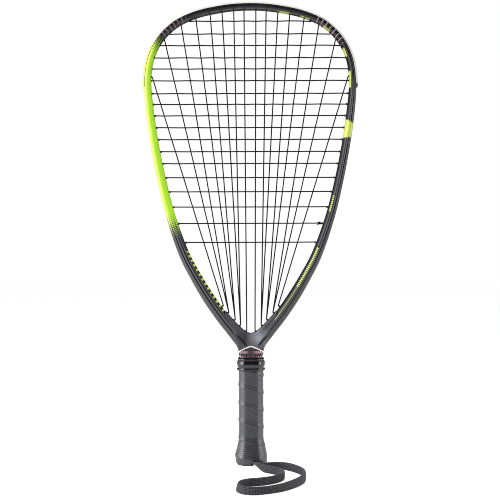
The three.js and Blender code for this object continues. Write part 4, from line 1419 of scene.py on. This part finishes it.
def frame_marks(across, along):
    """Painted marks by place along and across the beam: mask and colour of each"""
    marks = []
    for colour, start, end, pitch, share in bar_rows:
        first = math.copysign(start, end) - bar_overrun
        mask = strip_mask(across, along, min(first, end), max(first, end), *whole_width)
        shifted = calc("SUBTRACT", calc("ABSOLUTE", along), start)
        marks.append((times(mask, dashes(shifted, pitch, share)), shade_of(colour)))
    for colour, start, end, low, high, *dashed in strips:
        mask = strip_mask(across, along, start, end, low, high)
        if dashed:
            mask = times(mask, dashes(along, *dashed))
        marks.append((mask, shade_of(colour)))
    patch = band(across, *patch_across)
    for slant, start, end in patch_ends:
        slanted = calc("MULTIPLY_ADD", across, slant, along)
        patch = times(patch, band(slanted, start, end, patch_blur))
    return [*marks, (patch, shade_of(dull_lime))]


def throat_marks(x, z):
    """A pale line that arches over the throat, and rows of short dashes under it"""
    share = calc("ABSOLUTE", calc("DIVIDE", x, arch_half_width))
    drop = calc("DIVIDE", times(share, share), calc("ADD", share, arch_roundness))
    fall = (1 + arch_roundness) * (arch_foot - arch_top)
    arch = calc("MULTIPLY_ADD", drop, fall, arch_top)
    below = calc("LESS_THAN", z, arch)
    marks = [(times(below, arch_cover), shade_of(charcoal, arch_shade))]
    pink = two_tone(ramp(share, *pink_ramp), crimson, pale_pink)
    for height, half_height, reach, share_drawn in throat_rows:
        stripe = band(z, height - half_height, height + half_height, dash_blur)
        near = calc("LESS_THAN", share, reach)
        drawn = dashes(x, dash_pitch, share_drawn)
        marks.append((times(stripe, near, below, drawn, dash_cover), pink))
    line = calc("LESS_THAN", distance_from(z, arch), arch_half_height)
    return [*marks, (line, shade_of(chalk))]


# Painted highlights on the beam's facets and the web, by place across and along
def facet_highlight_marks(across, down):
    across_blur, along_blur = facet_highlight_blur
    return [
        (times(band(across, low, high, across_blur), band(down, start, end, along_blur)),
         shade_of(highlight_grey, tone))
        for low, high, start, end, tone in facet_highlights
    ]


def throat_painted_light(x, z):
    """Painted highlight in front of the throat, and painted shade in the valley in it where the two
    arms part
    """
    throat_highlight = times(band(x, *throat_highlight_across), band(z, *throat_highlight_up))
    valley = calc("MULTIPLY_ADD", distance_from(x, valley_centre), -valley_slope, z)
    valley = band(valley, valley_foot - valley_half, valley_foot + valley_half, valley_blur)
    return [
        (throat_highlight, shaded(ramp(x, *throat_highlight_ramp), highlight_grey, *throat_highlight_tones)),
        (times(valley, band(z, *valley_up)), shade_of(charcoal, valley_painted_shade)),
    ]


def frame_material():
    """Dark paint, with painted highlights on facets and throat, painted shade in valley and groove,
    lime and marks laid over it one after another
    """
    material, tree, shader = new_material("painted_graphite")
    shade, _, normal = grained(tree, *paint_grain)
    x, _, z = axes_of(tree, "Object")
    across, along, _ = axes_of(tree, "UV")
    down = calc("ABSOLUTE", along)
    lime_tone = shaded(spread(shade), lime, *lime_shades)
    # Lime painted paler towards the outer edge: a painted highlight
    lime_tone = blend_colour(ramp(across, *lime_highlight_turn), lime_tone, shade_of(pale_lime))
    # Painted shade along the groove, below the lime
    groove = times(band(across, *groove_across), calc("GREATER_THAN", down, groove_start))
    layers = [
        *facet_highlight_marks(across, down), *throat_painted_light(x, z), (lime_mask(across, along), lime_tone),
        *frame_marks(across, along), (groove, shade_of(charcoal, groove_painted_shade)),
        *throat_marks(x, z),
    ]
    colour = shaded(spread(shade), charcoal, *charcoal_shades)
    for mask, tone in layers:
        colour = blend_colour(mask, colour, tone)
    fill(shader, {
        "Base Color": colour, "Roughness": spread(shade, *paint_rough), "Normal": normal,
        "Specular IOR Level": paint_gloss,
    })
    return material


# Looks of the bumper guard, strings, grip and webbing: a grain is its size, blotch size and depth,
# and a bump its strength and depth
clear_nylon = (0.60, 0.60, 0.54)
nylon_cloud = (0.85, 0.85, 0.85)
white = (1, 1, 1)
barrel_black = (0.010, 0.010, 0.011)
nylon_grain = (1500, 40, 0.12)
nylon_rough = (0.30, 0.42)
lime_top = 508 * MM
bumper_tip = 3.5 * MM
string_tones = ((0.003, 0.003, 0.004), (0.008, 0.008, 0.009))
string_wind = (1, 700, 1)
string_unevenness = 0.4
string_bump = (0.25, 0.1 * MM)
string_rough = 0.45
string_gloss = 0.1
grip_tones = ((0.007, 0.007, 0.010), (0.012, 0.012, 0.016))
# Painted highlight on the grip's raised dots
grip_dot_highlight = (0.10, 0.10, 0.115)
grip_grain = (1600, 60, 0.3)
grip_rough = (0.30, 0.42)
grip_gloss = 0.9
webbing_tones = ((0.003, 0.003, 0.005), (0.095, 0.095, 0.108))
webbing_grain = (2500, 80, 0.25)
webbing_rib = 1.5 * MM
webbing_fuzz = 0.4
webbing_bump = (0.6, 0.4 * MM)
webbing_rough = 0.75
webbing_gloss = 0.2
webbing_sheen = 0.05


def bumper_material():
    """Clear nylon with black barrels and one black end: it takes on the lime that it lies over"""
    material, tree, shader = new_material("clear_nylon")
    shade, _, normal = grained(tree, *nylon_grain)
    x, _, z = axes_of(tree, "Object")
    across, along, _ = axes_of(tree, "UV")
    over_lime = times(calc("LESS_THAN", x, 0), calc("LESS_THAN", z, lime_top))
    tone = two_tone(over_lime, clear_nylon, pale_lime)
    tone = blend_colour(1, tone, two_tone(spread(shade), nylon_cloud, white), "MULTIPLY")
    barrel = calc("GREATER_THAN", across, (barrel_mark + 1) / 2)
    tip = calc("GREATER_THAN", along, bumper_end - bumper_tip)
    black = calc("MAXIMUM", barrel, tip)
    fill(shader, {
        "Base Color": blend_colour(black, tone, shade_of(barrel_black)), "Normal": normal,
        "Roughness": spread(shade, *nylon_rough),
    })
    return material


def string_material():
    material, tree, shader = new_material("black_string")
    place = add(tree, "ShaderNodeTexCoord").outputs["UV"]
    wound_way = add(tree, "ShaderNodeMapping", {"Vector": place, "Scale": string_wind}).outputs[0]
    wound = add(
        tree, "ShaderNodeTexWave", {"Vector": wound_way, "Scale": 1, "Distortion": string_unevenness},
        bands_direction="DIAGONAL").outputs[1]
    fill(shader, {
        "Base Color": two_tone(wound, *string_tones),
        "Normal": bump(wound, *string_bump), "Roughness": string_rough,
        "Specular IOR Level": string_gloss,
    })
    return material


def grip_material():
    """Tacky dark rubber with fine raised dots, painted paler than its hollows as a painted highlight
    on the dots
    """
    material, tree, shader = new_material("grip_rubber")
    shade, fine, normal = grained(tree, *grip_grain)
    around, height, _ = axes_of(tree, "UV")
    slope = calc("MULTIPLY_ADD", around, wrap_pitch / grip_girth, height)
    across = calc("DIVIDE", slope, emboss_pitch / math.pi)
    beside = calc("DIVIDE", around, emboss_pitch / math.pi)
    first = calc("MULTIPLY_ADD", beside, emboss_turn, across)
    second = calc("MULTIPLY_ADD", across, -emboss_turn, beside)
    dots = lattice(first, second, clamp=True)
    base = two_tone(spread(shade), *grip_tones)
    fill(shader, {
        "Base Color": blend_colour(dots, base, shade_of(grip_dot_highlight)), "Normal": normal,
        "Roughness": spread(fine, *grip_rough), "Specular IOR Level": grip_gloss,
    })
    return material


def webbing_material():
    """Flat woven tape: fine slanted ribs that cross, on the band's own length and width"""
    material, tree, shader = new_material("woven_webbing")
    _, fine, _ = grained(tree, *webbing_grain)
    across, along, _ = axes_of(tree, "UV")
    ways = (
        calc("MULTIPLY", calc(operation, across, along), math.pi / webbing_rib)
        for operation in ("ADD", "SUBTRACT"))
    weave = calc("MULTIPLY_ADD", lattice(*ways), 0.5, 0.5)
    height = calc("MULTIPLY_ADD", fine, webbing_fuzz, weave)
    fill(shader, {
        "Base Color": two_tone(weave, *webbing_tones),
        "Normal": bump(height, *webbing_bump), "Roughness": webbing_rough,
        "Specular IOR Level": webbing_gloss, "Sheen Weight": webbing_sheen,
    })
    return material


# Floor, flags, world and lamps
floor_size = 14
floor_grey = (0.42, 0.42, 0.42)
floor_rough = 0.9
floor_glow = 0.72
flag_size = (2.4, 1.6, 1)
flag_black = (0.01, 0.01, 0.01)
ambient_strength = 0.64
pixel_filter = 1.0
# Each flag's place and tilt
flags = {
    "front_flag": ((0, -1.3, 0.75), math.pi / 2),
    "back_flag": ((0, 1.2, 0.75), math.pi / 2),
    "top_flag": ((0, -0.3, 1.6), 0),
}
# Each lamp's place, aim, size and power in watts
lamps = {
    "left_box": ((-1.2, -0.45, 0.6), (0, 0, 0.25), (0.9, 1.7), 26),
    "right_box": ((1.3, -0.38, 0.45), (0, 0, 0.25), (0.2, 1.3), 8),
    "top_box": ((0, -0.5, 1.75), (0, 0, 0.3), (1.0, 0.6), 8),
    "back_box": ((0.3, 1.5, 0.9), (0, 0, 0.3), (1.2, 1.2), 6),
}


def seen_ray(tree):
    """1 for what the camera sees, directly or in gloss or glass"""
    seen = add(tree, "ShaderNodeLightPath").outputs
    straight = calc("MAXIMUM", seen["Is Camera Ray"], seen["Is Glossy Ray"])
    return calc("MAXIMUM", straight, seen["Is Transmission Ray"])


def place_sheet(name, size, place, tilt, finish_name, colour, rough):
    """A flat sheet of the studio, without gloss: the sheet and the parts of its material"""
    clear_selection()
    bpy.ops.mesh.primitive_plane_add(size=size, location=place, rotation=(tilt, 0, 0))
    sheet = bpy.context.object
    sheet.name = name
    material, tree, shader = new_material(finish_name)
    fill(shader, {
        "Base Color": shade_of(colour), "Roughness": rough, "Specular IOR Level": 0})
    sheet.data.materials.append(material)
    return sheet, tree, shader


def place_floor():
    """Pale floor: white where it is seen in full light, a little less in the racket's shadow"""
    _, tree, shader = place_sheet(
        "studio_floor", floor_size, (0, 0, 0), 0, "pale_floor", floor_grey, floor_rough)
    glow = times(seen_ray(tree), floor_glow)
    glow = add(tree, "ShaderNodeEmission", {"Color": shade_of(white), "Strength": glow})
    total = add(tree, "ShaderNodeAddShader", {0: shader.outputs[0], 1: glow.outputs[0]})
    fill(tree.nodes["Material Output"], {"Surface": total.outputs[0]})


def place_flag(name, place, tilt):
    """Black card seen only in gloss: it keeps dark fronts and inner walls dark"""
    flag, _, _ = place_sheet(name, 1, place, tilt, "flag_cloth", flag_black, 1)
    flag.scale = flag_size
    for kind in ("camera", "diffuse", "transmission", "shadow"):
        setattr(flag, f"visible_{kind}", False)


def set_world():
    world = bpy.data.worlds.new("studio")
    bpy.context.scene.world = world
    world.use_nodes = True
    tree = world.node_tree
    fill(tree.nodes["Background"], {
        "Color": shade_of(white), "Strength": ramp(seen_ray(tree), 0, 1, ambient_strength, 1)})


def place_lamp(name, place, aim, size, power):
    turn = (Vector(aim) - Vector(place)).to_track_quat("-Z", "Y").to_euler()
    bpy.ops.object.light_add(type="AREA", location=place, rotation=turn)
    lamp = bpy.context.object
    lamp.name = name
    lamp.data.shape = "RECTANGLE"
    lamp.data.size, lamp.data.size_y = size
    lamp.data.energy = power


place_camera()
grain = make_grain()
plain = {name: plain_material(name, **looks) for name, looks in plain_finishes.items()}
webbing = webbing_material()

build_cord(webbing)
build_knot(webbing)
build_frame(frame_material())
build_bumper(bumper_material())
for side in side_words:
    build_side_strip(side, plain["black_nylon"])
for hole, side, position in throat_holes:
    build_throat_grommet(hole, side, position, plain["black_nylon"])
build_strings(string_material())
build_grip(grip_material())
build_collar(plain["collar_rubber"])

kept_nodes = {
    "pallet_front": "pallet_foam", "pallet_back": "pallet_foam", "butt_cap": "cap_plastic",
    "finishing_tape": "cloth_tape", "butt_cap_screw_left": "screw_steel",
    "butt_cap_screw_right": "screw_steel",
}
for name, look in kept_nodes.items():
    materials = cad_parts[name].data.materials
    materials.clear()
    materials.append(plain[look])

place_floor()
for name, settings in flags.items():
    place_flag(name, *settings)
set_world()
for name, settings in lamps.items():
    place_lamp(name, *settings)

bpy.context.scene.view_settings.view_transform = "Standard"
bpy.context.scene.cycles.filter_width = pixel_filter
